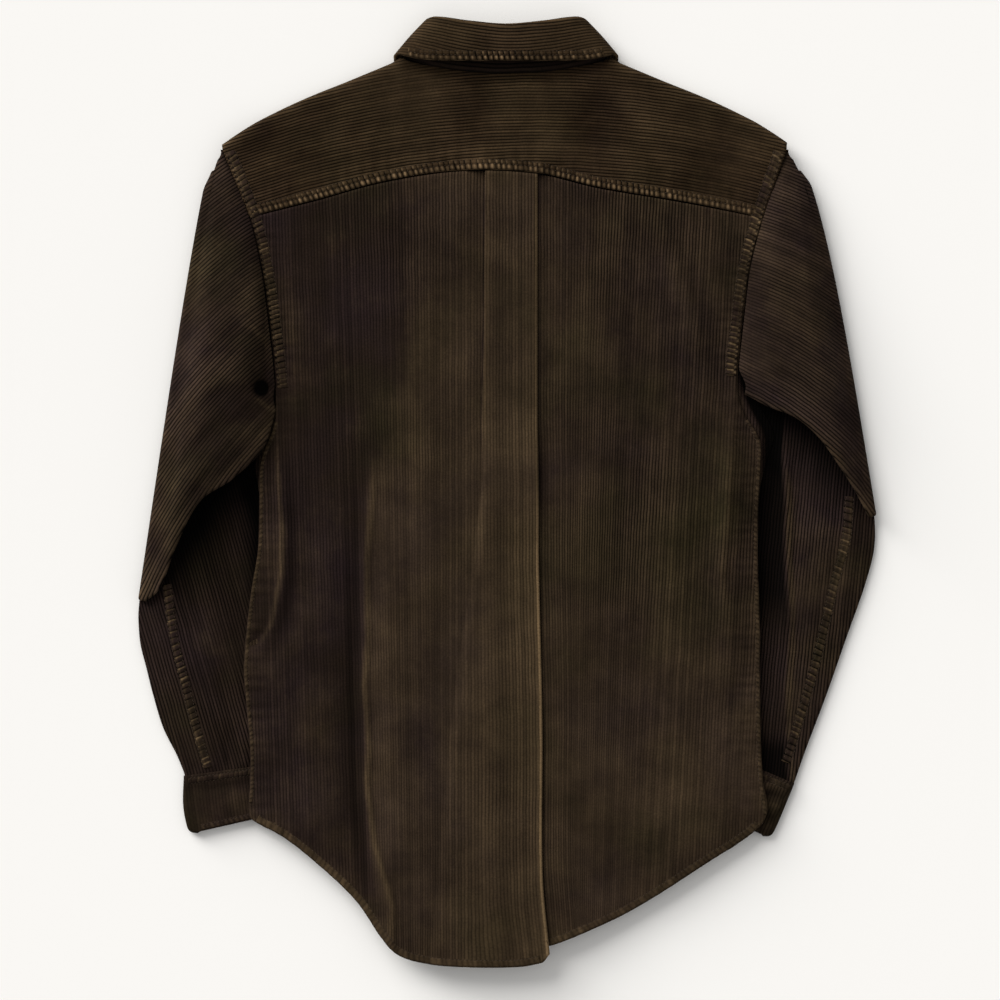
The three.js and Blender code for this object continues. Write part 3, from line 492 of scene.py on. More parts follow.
def back_panel():
    """The back and its box pleat, row by row from the yoke to the hem."""
    ROWS, FLAT, TURN, BOX, UNDER = 230, 74, 6, 20, 3
    half = LAYER / 2
    points, cloth, wear_and_painted_light = [], [], []
    for v in np.linspace(0, 1, ROWS):
        left_x, left_under, left_turn, r, right_x, right_under = pleat(mix(272.0, -400.0, v))
        turn = math.radians(left_turn)
        onward, upward = left_under * math.cos(turn), left_under * math.sin(turn)
        edge_left = body_edge(mix(YOKE_SIDE_Y, SIDE_END_LEFT_Y, v))[0]
        edge_right = body_edge(mix(YOKE_SIDE_Y, SIDE_END_RIGHT_Y, v))[1]
        start = left_x - onward
        section = []

        def push(px, up, on_ridge=1.0, right_hem=0.0):
            section.append((px, up, on_ridge, right_hem))

        for t in np.linspace(0, 1, FLAT):
            push(mix(edge_left, start, t), 0)
        for t in shares(TURN):
            push(start + r * math.sin(turn * t), r * (1 - math.cos(turn * t)))
        x1, up1 = section[-1][:2]
        for t in shares(UNDER):
            push(x1 + onward * t, up1 + upward * t)
        x1, up1 = section[-1][:2]
        for t in 1 - shares(TURN):
            rise = math.cos(turn * t) - math.cos(turn)
            push(x1 + r * (math.sin(turn) - math.sin(turn * t)), up1 + r * rise)
        x1, up1 = section[-1][:2]
        top = max(up1, 2 * LAYER)
        for t in 1 - (1 - shares(BOX)) ** 1.6:
            push(mix(x1, right_x, t), mix(up1, top, t))
        for t in math.pi * shares(TURN):
            push(right_x + half * math.sin(t), top - half * (1 - math.cos(t)))
        for t in shares(UNDER * 2):
            push(right_x - right_under * t, LAYER, 1 - t, float(t > 0.9))
        inner = right_x - right_under
        for t in math.pi * shares(TURN):
            push(inner - half * math.sin(t), LAYER - half * (1 - math.cos(t)), 0, 1)
        for t in shares(FLAT - 1):
            push(mix(inner, edge_right, t), 0, 0, 1)
        x, rise, on_ridge, right_hem = np.array(section, float).T
        flat = rise < 1
        high_up = rise > 3
        corner = 4.5 * np.clip((x - right_x + 5) / 5, 0, 1.25) ** 2
        hem = np.where(right_hem > 0, hem_right(x)[0], hem_left(x)[0] + corner)
        seam_y = yoke_seam(x)[0]
        y = mix(seam_y - SEAM, hem, v)
        on_left, on_right = x - body_edge(y)[0], body_edge(y)[1] - x
        soft = folds(x, y, BODY_FOLDS) + 0.5 * waves(x, y, 3, 46, 0.2)
        soft = soft * (0.3 + 0.7 * ease((y - hem) / 14) * ease((seam_y - y) / 8))
        soft += gathers(x + 0.25 * y, seam_y - y, 10, 20, 0.55, 71)
        soft += gathers(y, on_left - 9, 10, 12, 0.55, 72)
        soft += gathers(y, on_right - 9, 10, 12, 0.55, 73)
        soft += gathers(x, y - hem - 6, 9, 8, 0.4, 74)
        past = x - right_x - 1.2
        inside = ease((x - left_x + 2) / mix(34, 1, ease(y / 60))) * (x < right_x + 2)
        step = back_height(x, y, 1.0) - back_height(x, y, 0.0) + 2 * LAYER - 2.6
        lift = step * ease(past / 2.5) * ease(1 - past / 78) * (right_hem > 0) * (rise < 0.01)
        z = back_height(x, y, on_ridge) + rise + lift + soft * (1 - 0.55 * inside)
        points.append(np.stack([x, y, z], -1))
        lean = 0.052 * ease((x - 30) / 90) - 0.03 * ease((-40 - x) / 90)
        across = x - (y - 272) * lean - (right_x - 25) * ease((x + 40) / 50) * (x < 60)
        cloth.append(np.stack([across, y], -1))

        # Paler and darker cloth: the box and the cloth beside it are paler; the pleat has painted
        # highlights on its rims and painted shade in its steps; the folds have painted highlights
        # on their crests and painted shade beside them; the seams and the hem are worn paler; the
        # left side is darker.
        box = (x > left_x) * (x < right_x + 1.2) * ease(y / 110)
        high = ease((y + 20) / 200)
        plateau = ease((x + mix(121, 92, high)) / mix(10, 34, high)) * ease((right_x + 2 - x) / 3)
        plateau *= mix(0.24, 0.5, ease((x + 90) / 110) * (1 - high)) * (1 - high * (x > left_x))
        beside = ease((x - right_x) / 4)
        shown_right = beside * (0.1 + 0.17 * ease((-40 - y) / 200))
        shown_right += 0.1 * beside * ease((100 - x) / 60) * ease((y - 60) / 120)
        # Painted highlights on the rims of the pleat.
        painted_rim_light = bell(x - right_x - 0.3, 1.1) * high_up * (1 + 1.9 * ease((30 - y) / 120))
        painted_rim_light += bell(x - left_x - 0.8, 1.2) * high_up * ease((y - 20) / 120)
        seam = ease(1 - on_left / 9) + ease(1 - on_right / 9)
        # Painted shade in the steps beside the pleat's edges.
        painted_shade = bell(x - right_x - 2.0, 1.6) * (x > right_x + 0.6) * flat
        painted_shade += 2 * bell(x - left_x + 1.0, 1.3) * (x < left_x) * flat * ease(y / 100)
        ridge, ditch, left_fold, right_fold = (BODY_FOLDS[k][0] for k in (0, 1, 2, 6))
        # Painted highlights along the crests of the folds, and painted shade in the ditch and
        # beside the side folds.
        crest_light_and_shade = fold(x, y, ridge, 2.0, 0.5) - fold(x, y, ditch, 8, 0.28)
        crest_light_and_shade += fold(x, y, left_fold, 1.8, 0.3) - fold(x - 6, y, left_fold, 5, 0.3)
        crest_light_and_shade += fold(x, y, right_fold, 1.8, 0.12) - fold(x + 5, y, right_fold, 4, 0.14)
        # Crests of the soft relief are paler, part wear and part painted highlight; troughs get
        # painted shade.
        value = 0.06 + crest_light_and_shade + 0.07 * soft + shown_right + 0.3 * box + plateau + 0.55 * painted_rim_light
        value += 0.1 * seam + 0.3 * ease(1 - (y - hem) / 7)
        value -= 0.11 * ease((-60 - x) / 50) * ease((y + 60) / 80)
        wear_and_painted_light.append(value - mix(0.1, 0.4, ease((y + 20) / 120)) * painted_shade)
    points = np.array(points)
    x, y = points[..., 0], points[..., 1]
    tint = 0.2 * ease((x - 30) / 60) * (1 - 3.2 * ease((-60 - y) / 120))
    tint -= 0.35 * ease((-90 - x) / 60)
    crisp = mix(0.46, 0.78 - 0.4 * ease((-40 - y) / 160), ease((x - 20) / 60))
    crisp += 0.22 * ease((y - 120) / 100)
    cloth, wear_and_painted_light = np.array(cloth), np.array(wear_and_painted_light)
    return cloth_sheet("back_cloth", points, cloth, wear_and_painted_light, tint, CLOTH, flip=True, crisp=crisp)


def yoke_cloth():
    FLAT_ROWS, FOLD_ROWS, UNDER_ROWS, SIDE = 44, 9, 10, 88
    last = 3.5
    edge_step = last / (FOLD_ROWS + UNDER_ROWS)
    share = np.linspace(-1, 1, 2 * SIDE + 1)
    points, cloth, wear_and_painted_light = [], [], []

    def x_at(y):
        left, right = body_edge(y)
        return np.abs(share) * np.where(share < 0, left, right)

    whole = np.full_like(share, 1.0)
    out_x = x_at(291 * whole)
    low = yoke_seam(x_at(234 * whole))[0] + SEAM
    high = shoulder(np.abs(out_x))[0]
    wraps = ease((np.abs(out_x) - 84) / 15)
    under = front_height(out_x, 330 * whole, 0)
    radius = mix(3.8, 3.4, ease((np.abs(out_x) - 92) / 40))
    turn_length = math.pi * radius
    fold_at = high - low - radius * wraps
    for i in range(FLAT_ROWS + FOLD_ROWS + UNDER_ROWS + 1):
        step = min(i, FLAT_ROWS) / FLAT_ROWS
        flat = (high - low - last) * step + edge_step * max(i - FLAT_ROWS, 0)
        folded = (
            fold_at * step
            + turn_length * min(max(i - FLAT_ROWS, 0), FOLD_ROWS) / FOLD_ROWS
            + YOKE_UNDER * max(i - FLAT_ROWS - FOLD_ROWS, 0) / UNDER_ROWS
        )
        s = mix(flat, folded, wraps)
        over_pleat = 2 * LAYER * ease((out_x + 40) / 22) * ease((50 - out_x) / 22)
        over_pleat *= 1 - ease(s / 40)
        y = low + s
        x = x_at(y)
        at_fold = mix(NECK_HEIGHT, under + 2 * radius, wraps)
        rise = mix(back_height(x, y, 0.0), at_fold, ease(s / fold_at))
        past = np.maximum(s - fold_at, 0)
        angle = np.minimum(past / radius, math.pi)
        back = np.maximum(past - turn_length, 0)
        y_fold = low + fold_at + radius * np.sin(angle) - back
        inward = 14 * (back / YOKE_UNDER) * ease((140 - np.abs(out_x)) / 48)
        x_fold = x_at(y_fold) - np.sign(share) * inward
        z_fold = under + radius + radius * np.cos(angle)
        turned = s > fold_at
        soft = folds(x, y, YOKE_FOLDS) + 0.45 * waves(x, y, 8, 50, 1.4)
        soft *= ease(s / 14) * ease((fold_at - s) / 20)
        soft += gathers(x, s - 8, 9, 13, 0.5, 75) * ease(s / 3)
        armhole = np.minimum(np.abs(body_edge(y)[0] - x), np.abs(body_edge(y)[1] - x))
        soft += gathers(y, armhole - 10, 9, 11, 0.45, 76) * ease(s / 3) * ease((fold_at - s) / 9)
        px, py = np.where(turned, x_fold, x), np.where(turned, y_fold, y)
        pz = np.where(turned, z_fold, rise + over_pleat + soft)
        points.append(np.stack([px, py, pz], -1))
        droop = 0.04 * px - 0.000685 * px**2
        cloth.append(np.stack([low + s - droop, px], -1))
        seam = ease(1 - s / 11) + ease(1 - (np.abs(body_edge(y)[0]) - np.abs(x)) / 13) * (share < 0)
        seam += ease(1 - (body_edge(y)[1] - x) / 13) * (share > 0)
        # Painted shade on the yoke under the collar's fall.
        shade_under_collar = bell(s - fold_at, 7) * ease((92 - np.abs(x)) / 10)
        fold_edge = bell(s - fold_at - 2, 5) * wraps * 0.25
        # Crests of the relief are paler, part wear and part painted highlight; troughs get painted
        # shade.
        value = 0.27 - 0.14 * ease((np.abs(x) - 60) / 110) + 0.09 * soft + 0.12 * seam
        wear_and_painted_light.append(value - 0.5 * shade_under_collar + fold_edge + 0.12 * waves(x, y, 5, 60))
    points, cloth, wear_and_painted_light = np.array(points), np.array(cloth), np.array(wear_and_painted_light)
    tint = 0.3 * ease((130 - np.abs(points[..., 0])) / 60)
    return cloth_sheet("yoke_cloth", points, cloth, wear_and_painted_light, tint, CLOTH, crisp=1.3)


def front_cloth(name, side, lift):
    COLUMNS, ROWS = 56, 96
    hem = hem_left if side < 0 else hem_right
    across = np.linspace(0, 1, COLUMNS) ** 1.4
    points, cloth, shade = [], [], []
    for v in np.linspace(0, 1, ROWS):
        side_y = mix(FRONT_SIDE_Y, SIDE_END_LEFT_Y if side < 0 else SIDE_END_RIGHT_Y, v)
        left, right = body_edge(side_y)
        tuck = max(15 * math.exp(-(((side_y - 58) / 38) ** 2)), 3.2 if side_y > 58 else 0.0)
        edge = (-left if side < 0 else right) - 1 + tuck
        x = side * mix(edge, -FRONT_LAP / 2, across)
        low = hem(np.minimum(x, 0) if side < 0 else np.maximum(x, 40))[0] + FRONT_SHORTER * across
        y = mix(front_top(np.abs(x))[0] - SEAM, low, v)
        beyond = ease((np.abs(x) - edge + tuck) / 5)
        points.append(np.stack([x, y, mix(front_height(x, y, lift), 4.0, beyond)], -1))
        cloth.append(np.stack([x, y], -1))
        shade.append(beyond)
    points, cloth, shade = np.array(points), np.array(cloth), np.array(shade)
    # Painted shade: the front is black where it reaches past the body's edge, under the sleeve.
    wear_and_painted_light = mix(0.2 + 0.1 * waves(points[..., 0], points[..., 1], 9, 90), -1.0, shade)
    return cloth_sheet(name, points, cloth, wear_and_painted_light, 0 * wear_and_painted_light, CLOTH, flip=side < 0)


def tube_loops(rows, gap, outward_sign, steps, soft_above=None, soft_below=None):
    """Loops round a flattened tube, on the middle of its wall, and the ply of each point: 1 above,
    -1 below and 0 at the ends."""
    ENDS = 5
    w_side = shares(steps)[:-1]
    round_end = np.linspace(0, math.pi, ENDS + 1)
    end_a, end_b = gap * np.sin(round_end), gap * np.cos(round_end)
    none, one = np.zeros(ENDS + 1), np.ones(steps - 1)
    ply = np.concatenate([none, -one, none, one, [0]])
    loops = []
    for row in rows:
        top, under = np.array(row[0:3]), np.array(row[3:6])
        hug, bow, turn_deg, bulge, lower = row[6:11]
        along = under - top
        length = np.linalg.norm(along)
        along = along / length
        outward = np.array([along[1], -along[0], 0])
        outward /= np.linalg.norm(outward)
        if outward[0] * outward_sign < 0:
            outward = -outward
        turn = math.radians(turn_deg)
        facing = np.array([0, 0, math.cos(turn)]) + outward * math.sin(turn)
        peak = 2.4 if turn_deg >= 179.9 else 1.45
        swell = np.sin(math.pi * w_side**peak)
        side = mix(gap, length - gap, w_side)
        a = np.concatenate([gap - end_a, side, length - gap + end_a, side[::-1], [gap]])
        b = np.concatenate([end_b, -gap - lower * swell, -end_b, gap + bulge * swell[::-1], [gap]])
        w = np.clip(a / length, 0, 1)
        chord = top + (under - top) * w[:, None]
        left, right = body_edge(chord[:, 1])
        armhole = left - ARMHOLE_GAP if outward_sign < 0 else right + ARMHOLE_GAP
        hugging = hug * (armhole - chord[:, 0]) * -outward_sign
        close = 1 - (ease((w - 0.5) / 0.45) if hug < 1 else ease((w - 0.9) / 0.08))
        turning = math.sin(turn) if 0 < turn_deg < 179.9 else 0.0
        shoulder_end = 0.75 * CREASE_RADIUS * turning * (1 - ease(w / 0.05))
        aside = np.maximum(hugging, 0) * close + bow * np.sin(math.pi * w**0.6) + shoulder_end
        loop = top + along * a[:, None] + facing * b[:, None] - outward * aside[:, None]
        # A trough stops short of the ply below it.
        room = -0.4 - (bulge + lower) * np.sin(math.pi * w**peak)
        inside = ease(np.minimum(a, length - a) / 16)
        if soft_above is not None and turn_deg < 1:
            soft = soft_above(loop[:, 0], loop[:, 1]) * inside * ease(bulge / 3)
            loop[:, 2] += (ply > 0) * np.maximum(soft, room)
        if soft_below is not None and turn_deg > 179:
            soft = soft_below(loop[:, 0], loop[:, 1]) * inside
            loop[:, 2] += (ply < 0) * np.maximum(soft, room)
        loops.append(loop)
    return np.array(loops), np.broadcast_to(ply, (len(loops), len(ply)))


def facing_up(table):
    """Full sections of an upper sleeve, whose face looks up."""
    return [(*row[:8], 0, *row[8:]) for row in table]


def facing_down(table):
    """Full sections of a level sleeve or cuff that is turned over."""
    return [
        (x0, y0, z, x1, y1, z, 0, bow, 180, 0, lower)
        for x0, y0, x1, y1, z, bow, lower in table
    ]


def between(rows, counts):
    """Rows read on a smooth curve, with so many steps between each and the next."""
    read = curve(numbered(rows))
    at = [i + k / n for i, n in enumerate(counts) for k in range(n)] + [len(rows) - 1]
    return np.stack(read(np.array(at, float)), -1)


def sleeve_cloth(
    name, above, below, outward_sign, arcs, forearm_angle, soft_above, soft_below, wear_and_light_at
):
    """A sleeve folded flat: its upper part, the turn at its crease and its lower part."""
    GAP, STEPS, TURN = 1.3, 92, 8
    above, below = facing_up(above), facing_down(below)
    upper = between(above, [11] * (len(above) - 1))
    lower = between(below, [9] * 5 + [7] * (len(below) - 6))
    first = np.array(above[-1], float)
    chord = np.array([first[3] - first[0], first[4] - first[1]])
    outward = np.array([chord[1], -chord[0]]) / np.linalg.norm(chord)
    if outward[0] * outward_sign < 0:
        outward = -outward
    turned = []
    for turn in math.pi * shares(TURN)[:-1]:
        row = first.copy()
        for at in (0, 3):
            row[at : at + 2] += outward * CREASE_RADIUS * math.sin(turn)
            row[at + 2] = 6.5 + CREASE_RADIUS * math.cos(turn)
        row[8] = math.degrees(turn)
        turned.append(row)
    rows = np.concatenate([upper, np.array(turned), lower])
    loops = tube_loops(rows, GAP, outward_sign, STEPS, soft_above, soft_below)[0]
    x, y = loops[..., 0], loops[..., 1]
    # The wales run in arcs round a far centre above the crease, and straight below it.
    away = np.hypot(x - arcs[0], y - arcs[1])
    round_ = np.arctan2(y - arcs[1], x - arcs[0]) * 420
    angle = math.radians(forearm_angle)
    across = x * math.sin(angle) - y * math.cos(angle)
    onward = x * math.cos(angle) + y * math.sin(angle)
    is_upper = (np.arange(len(rows)) < len(upper) + TURN // 2)[:, None]
    cloth = np.stack([np.where(is_upper, away, across), np.where(is_upper, round_, onward)], -1)
    wear_and_painted_light, tint = wear_and_light_at(x, y, is_upper)
    flip = outward_sign > 0
    return cloth_sheet(name, loops, cloth, wear_and_painted_light, tint, CLOTH, closed=True, flip=flip, crisp=1.15)


LEFT_OPENING = [
    (-196, 70, 1), (-214, 36, 1), (-244, 12, 1), (-262, -12, 1), (-278, -50, 0.9),
    (-290, -76, 0.7), (-298, -88, 0.3),
]
# A hollow in the underarm, dented into the sleeve and painted black as shade: x, y, size.
LEFT_SHADED_HOLLOW = (-208.5, 88.5, 6.5)
# Routes of painted highlights: on an underarm ridge, with painted shade beside it, and on the
# flap's edge.
UNDERARM_RIDGE = [
    (-228, 146, 0), (-215, 140, 0.8), (-206, 130, 1), (-201, 118, 1), (-199, 106, 0.4),
]
FLAP_EDGE = [(-214, 83, 0.5), (-208, 76, 1), (-201, 71, 1), (-196, 71.5, 0.7)]
RIGHT_OPENING = [
    (203, 84, 1), (228, 72, 1), (257, 57, 1), (284, 25, 0.9), (300, -4, 0.6), (308, -18, 0.2),
]


# Where the underarm hollow is, for its dent and its painted shade.
def shaded_hollow(x, y):
    cx, cy, size = LEFT_SHADED_HOLLOW
    return np.exp(-((np.hypot(x - cx, (y - cy) * 0.9) / size) ** 4))


def left_wear_and_light(x, y, is_upper):
    # Painted shade in the underarm hollow; the sleeve is darker towards the shoulder.
    upper = 0.1 + 0.1 * waves(x, y, 21, 60) - 0.06 * ease((y - 140) / 80) - 2 * shaded_hollow(x, y)
    # Paler crests of the folds, part wear and part painted highlight; painted highlights along the
    # opening's edge, the underarm ridge and the flap's edge, with painted shade beside the ridge.
    upper = upper + 0.05 * folds(x, y, SLEEVE_LEFT_FOLDS) + 0.2 * fold(x, y, LEFT_OPENING, 3, 1)
    upper = upper + fold(x, y, UNDERARM_RIDGE, 2.4, 0.35) - fold(x + 9, y, UNDERARM_RIDGE, 9, 0.16)
    upper = upper + fold(x, y, FLAP_EDGE, 1.5, 0.5)
    edge = ease(1 - (x + 306 + (y + 92) * 0.165) / 16) * 0.15
    # Painted highlight at the elbow.
    elbow_highlight = 0.35 * bell(x + 305, 10) * bell(y + 92, 14)
    # Painted shade on the forearm under the upper sleeve and along the body's edge.
    shade_under_sleeve = fold(x, y, LEFT_OPENING, 34, 1) + ease((x + 232) / 26) * ease((y + 165) / 120)
    lower = -0.06 + 0.06 * waves(x, y, 22, 60) + 0.07 * folds(x, y, FOREARM_LEFT_FOLDS) - 1.0 * shade_under_sleeve
    return np.where(is_upper, upper + edge + elbow_highlight, lower), np.where(is_upper, -0.35, -0.1)


def right_wear_and_light(x, y, is_upper):
    upper = 0.1 + 0.1 * waves(x, y, 31, 60) + 0.05 * folds(x, y, SLEEVE_RIGHT_FOLDS)
    # Painted highlight along the opening's edge.
    upper = upper + 0.25 * fold(x, y, RIGHT_OPENING, 3, 1)
    # Painted highlight at the elbow's tip.
    tip_highlight = 0.4 * bell(x - 303, 9) * bell(y + 18, 12)
    # The lower ply in a strip by the body's edge is painted dark as shade under the body, with a
    # painted highlight on the rim beside it.
    inner = mix(241.0, 236.0, ease((y + 20) / 60)) + 1.5 * np.sin(y / 24)
    strip = ease((inner - x) / 5) * ease((100 - y) / 40)
    # Painted shade on the forearm under the upper sleeve.
    shade_under_sleeve = fold(x, y, RIGHT_OPENING, 30, 1)
    painted_rim_light = 0.3 * bell(x - inner - 2, 2) * ease((20 - y) / 40)
    beside = 0.12 + 0.06 * waves(x, y, 32, 60) + 0.07 * folds(x, y, FOREARM_RIGHT_FOLDS) + painted_rim_light
    painted_shade = 0.65 * ease((-80 - y) / 60) * ease((y + 222) / 24) - 0.93
    lower = mix(beside, painted_shade, strip) - 1.0 * shade_under_sleeve
    return np.where(is_upper, upper + tip_highlight + 0.03, lower + 0.03), np.where(is_upper, -0.45, -0.45)


def cuff_cloth(name, rows, outward_sign, bunched):
    full = between(facing_down([(*row, 3, 0, 0) for row in rows]), [14] * (len(rows) - 1))
    loops, plies = tube_loops(full, 1.7, outward_sign, 96)
    top, under = np.array(rows[0][0:2]), np.array(rows[0][2:4])
    along = (under - top) / np.linalg.norm(under - top)
    down = np.array([along[1], -along[0]]) * (1 if outward_sign < 0 else -1)
    x0, y0 = loops[..., 0], loops[..., 1]
    x, y = x0 - top[0], y0 - top[1]
    depth = x * down[0] + y * down[1]
    onward = x * along[0] + y * along[1]
    level = np.clip(depth / depth.max(), 0, 1)
    swell = 0.35 * waves(loops[..., 0], loops[..., 1], 41, 26)
    loops[..., 2] += np.where(plies < 0, swell * np.sin(math.pi * level) + bunched(x0, y0), 0)
    # Gathers are paler on their crests and darker in their troughs, part wear and part painted
    # light.
    wear_and_painted_light = 0.17 * bunched(x0, y0) - 0.02 + 0.2 * bell(level - 1, 0.05) + 0.1 * waves(x, y, 42, 40)
    wear_and_painted_light = wear_and_painted_light - 0.5 * bell(level - 0.42, 0.035)
    cloth = np.stack([onward, depth], -1)
    tint, crisp = (0.3, 0.4) if outward_sign < 0 else (-0.1, 0.6)
    flip = outward_sign > 0
    return cloth_sheet(name, loops, cloth, wear_and_painted_light, tint, DOUBLE, closed=True, flip=flip, crisp=crisp)


def neck_stations(columns):
    """The line of the seam, of the stand's top and of the collar's edge round the neck."""
    mirrored = [
        (-r[0], r[1], r[2], -r[3], r[4], r[5], -r[6], r[7], r[8], r[9])
        for r in COLLAR[:0:-1]
    ]
    whole = mirrored + COLLAR
    read = curve(numbered(whole))
    at = np.linspace(0, len(whole) - 1, columns)
    line = np.stack(read(at), -1)
    seam, top, edge = line[:, 0:3], line[:, 3:6], line[:, 6:9]
    onward = top - seam
    onward /= np.linalg.norm(onward, axis=1)[:, None]
    outward = np.stack([onward[:, 1], -onward[:, 0], 0 * onward[:, 0]], -1)
    outward /= np.linalg.norm(outward, axis=1)[:, None]
    sign = np.where(outward[:, 0] * (at - (len(whole) - 1) / 2) < 0, -1.0, 1.0)
    outward *= sign[:, None]
    face = np.radians(line[:, 9])
    facing = outward * np.sin(face)[:, None]
    facing[:, 2] += np.cos(face)
    return seam, top, edge, onward, facing


def collar_cloth():
    COLUMNS, ROLL, LEAF = 210, 8, 16
    _, top, edge, onward, facing = neck_stations(COLUMNS)
    rows = [top + onward * SEAM]
    for k in range(ROLL + 1):
        a = math.pi * k / ROLL
        out = ROLL_OUT + ROLL_RADIUS * math.sin(a)
        rows.append(top + onward * out + facing * ROLL_RADIUS * (1 - math.cos(a)))
    last = rows[-1]
    for k in range(1, LEAF + 1):
        t = k / LEAF
        rows.append(mix(last, edge, t) + facing * 0.9 * math.sin(math.pi * t))
    points = np.array(rows)
    soft = 0.35 * waves(points[..., 0], points[..., 1], 51, 34)
    points[..., 2] += np.where(facing[None, :, 2] > 0.6, soft, 0)
    steps = np.linalg.norm(np.diff(points, axis=0), axis=2)
    depth = np.concatenate([np.zeros((1, COLUMNS)), np.cumsum(steps, axis=0)])
    middle = points[ROLL]
    run = np.concatenate([[0], np.cumsum(np.linalg.norm(np.diff(middle, axis=0), axis=1))])
    cloth = np.stack([depth - 0.03 * (run - run[-1] / 2), np.broadcast_to(run, depth.shape)], -1)
    wear_and_painted_light = 0.36 + 0.12 * waves(points[..., 0], points[..., 1], 52, 40)
    wear_and_painted_light += 0.3 * bell(depth - depth.max(axis=0), 2.0)
    return cloth_sheet("collar_cloth", points, cloth, wear_and_painted_light, 0.05, DOUBLE, flip=True, crisp=1.1)


def stand_cloth():
    COLUMNS, ROWS = 160, 10
    seam, top, _, onward, facing = neck_stations(COLUMNS)
    allowance = [seam - 3.4 * facing - 6 * onward, seam - 2.6 * facing - 0.2 * onward]
    points = np.array(allowance + [mix(seam, top, t) for t in np.linspace(0, 1, ROWS - 2)])
    run = np.concatenate([[0], np.cumsum(np.linalg.norm(np.diff(seam, axis=0), axis=1))])
    depth = np.linspace(0, 35, ROWS)[:, None] + 0 * run
    cloth = np.stack([depth, np.broadcast_to(run, depth.shape)], -1)
    # The stand is painted dark as shade under the collar.
    wear_and_painted_light = -0.5 + 0 * depth
    return cloth_sheet("stand_cloth", points, cloth, wear_and_painted_light, 0 * wear_and_painted_light, DOUBLE, flip=True)


def route_points(route, step):
    """Points at even steps along a route of (x, y) corners, rounded at the corners."""
    read = curve(numbered(route))
    fine = np.stack(read(np.linspace(0, len(route) - 1, 60 * len(route))), -1)
    run = np.concatenate([[0], np.cumsum(np.linalg.norm(np.diff(fine, axis=0), axis=1))])
    at = np.arange(0, run[-1], step)
    return np.stack([np.interp(at, run, fine[:, k]) for k in (0, 1)], -1), at


def seam_strip(name, kind, route, on, inward, seed):
    """A felled seam: a raised strip along a route, sewn down along its edges, and its stitches."""
    ACROSS, STEP, PATCH = 11, 0.8, 23
    width, wear_and_painted_light, pucker, stitch_rows, pitch, proud, chunky = SEWN[kind]
    line, at = route_points(route, STEP)
    tangent = np.gradient(line, axis=0)
    tangent /= np.linalg.norm(tangent, axis=1)[:, None]
    normal = np.stack([-tangent[:, 1], tangent[:, 0]], -1) * inward
    height = surface_of(*on)
    rng = np.random.default_rng(seed)
    jitter = np.cumsum(rng.normal(0, 0.10, len(at)))
    jitter -= np.linspace(0, jitter[-1], len(at))
    bars = rng.random(int(at[-1] / pitch) + 8)
    knots = np.arange(0, at[-1] + 2 * PATCH, PATCH)
    patches = np.interp(at, knots, rng.uniform(0.6, 1.2, len(knots)))
    points, worn_rows, cloth = [], [], []
    share = np.linspace(0, 1, ACROSS)
    grounds = None
    for n, (px, py) in enumerate(line):
        phase = 2 * math.pi * at[n] / pitch + jitter[n] * 3
        xs = px + normal[n, 0] * width * share
        ys = py + normal[n, 1] * width * share
        found = [height(x, y) for x, y in zip(xs, ys)]
        known = [k for k in range(ACROSS) if found[k] is not None]
        if known:
            grounds = np.array([found[min(known, key=lambda m: abs(m - k))] for k in range(ACROSS)])
        turn = phase + 2.2 * share
        bar = bars[np.clip((turn / (2 * math.pi)).astype(int) + 2, 0, len(bars) - 1)]
        crown = proud * (1 - np.abs(2 * share - 1) ** 5) - 0.35
        dip = sum(0.5 * bell(share - r, 0.07) for r in stitch_rows)
        middle = np.exp(-(((share - 0.5) / 0.46) ** 6))
        place = turn / (2 * math.pi) + 0.37 * (share > stitch_rows[0]) * (len(stitch_rows) > 1)
        off = np.abs(place % 1 - 0.5)
        ridge = bell(off, 0.09 + 0.12 * bar) * middle * (0.3 + 0.9 * bar) * patches[n] * chunky
        bump = 1.5 * ridge - 0.4 * middle * chunky
        points.append(np.stack([xs, ys, grounds + crown - dip + pucker * bump], -1))
        near = 0.3 * bell(share - 0.24, 0.14) - 0.15 * bell(share - 0.55, 0.15)
        worn_rows.append(wear_and_painted_light - 0.45 + 1.35 * ridge + near * chunky - 0.9 * dip)
        cloth.append(np.stack([turn / (2 * math.pi) * WALE, width * share], -1))
    points = np.array(points)
    for _ in range(2):
        smooth = points[..., 2].copy()
        smooth[1:-1] = (points[:-2, :, 2] + 2 * points[1:-1, :, 2] + points[2:, :, 2]) / 4
        points[..., 2] = smooth
    cloth, worn_rows, crisp = np.array(cloth), np.array(worn_rows), 0.12 + 0.8 * chunky
    piece = cloth_sheet(name, points, cloth, worn_rows, 0.1, 0.5, flip=inward > 0, crisp=crisp)
    threads = stitches(name + "_stitches", points, share, stitch_rows, STEP)
    return piece, threads


def stitches(name, points, share, rows, step):
    """Rows of stitches along a seam, each one a short length of thread."""
    LONG, GAP, THICK = 2.4, 0.9, 0.26
    made_of = bmesh.new()
    every = int(round((LONG + GAP) / step))
    for r in rows:
        k = int(np.argmin(np.abs(share - r)))
        for n in range(2, len(points) - every, every):
            start, end = Vector(points[n, k]), Vector(points[n + every - 1, k])
            middle = (start + end) / 2 + Vector(SHIFT)
            middle.z += 0.32
            axis = (end - start).normalized()
            turn = axis.to_track_quat("X", "Z").to_matrix().to_4x4()
            place = (
                Matrix.Translation(middle * MM)
                @ turn
                @ Matrix.Diagonal((LONG / 2 * MM, THICK * MM, THICK * MM, 1))
            )
            bmesh.ops.create_icosphere(made_of, subdivisions=1, radius=1.0, matrix=place)
    return finished(name, made_of)


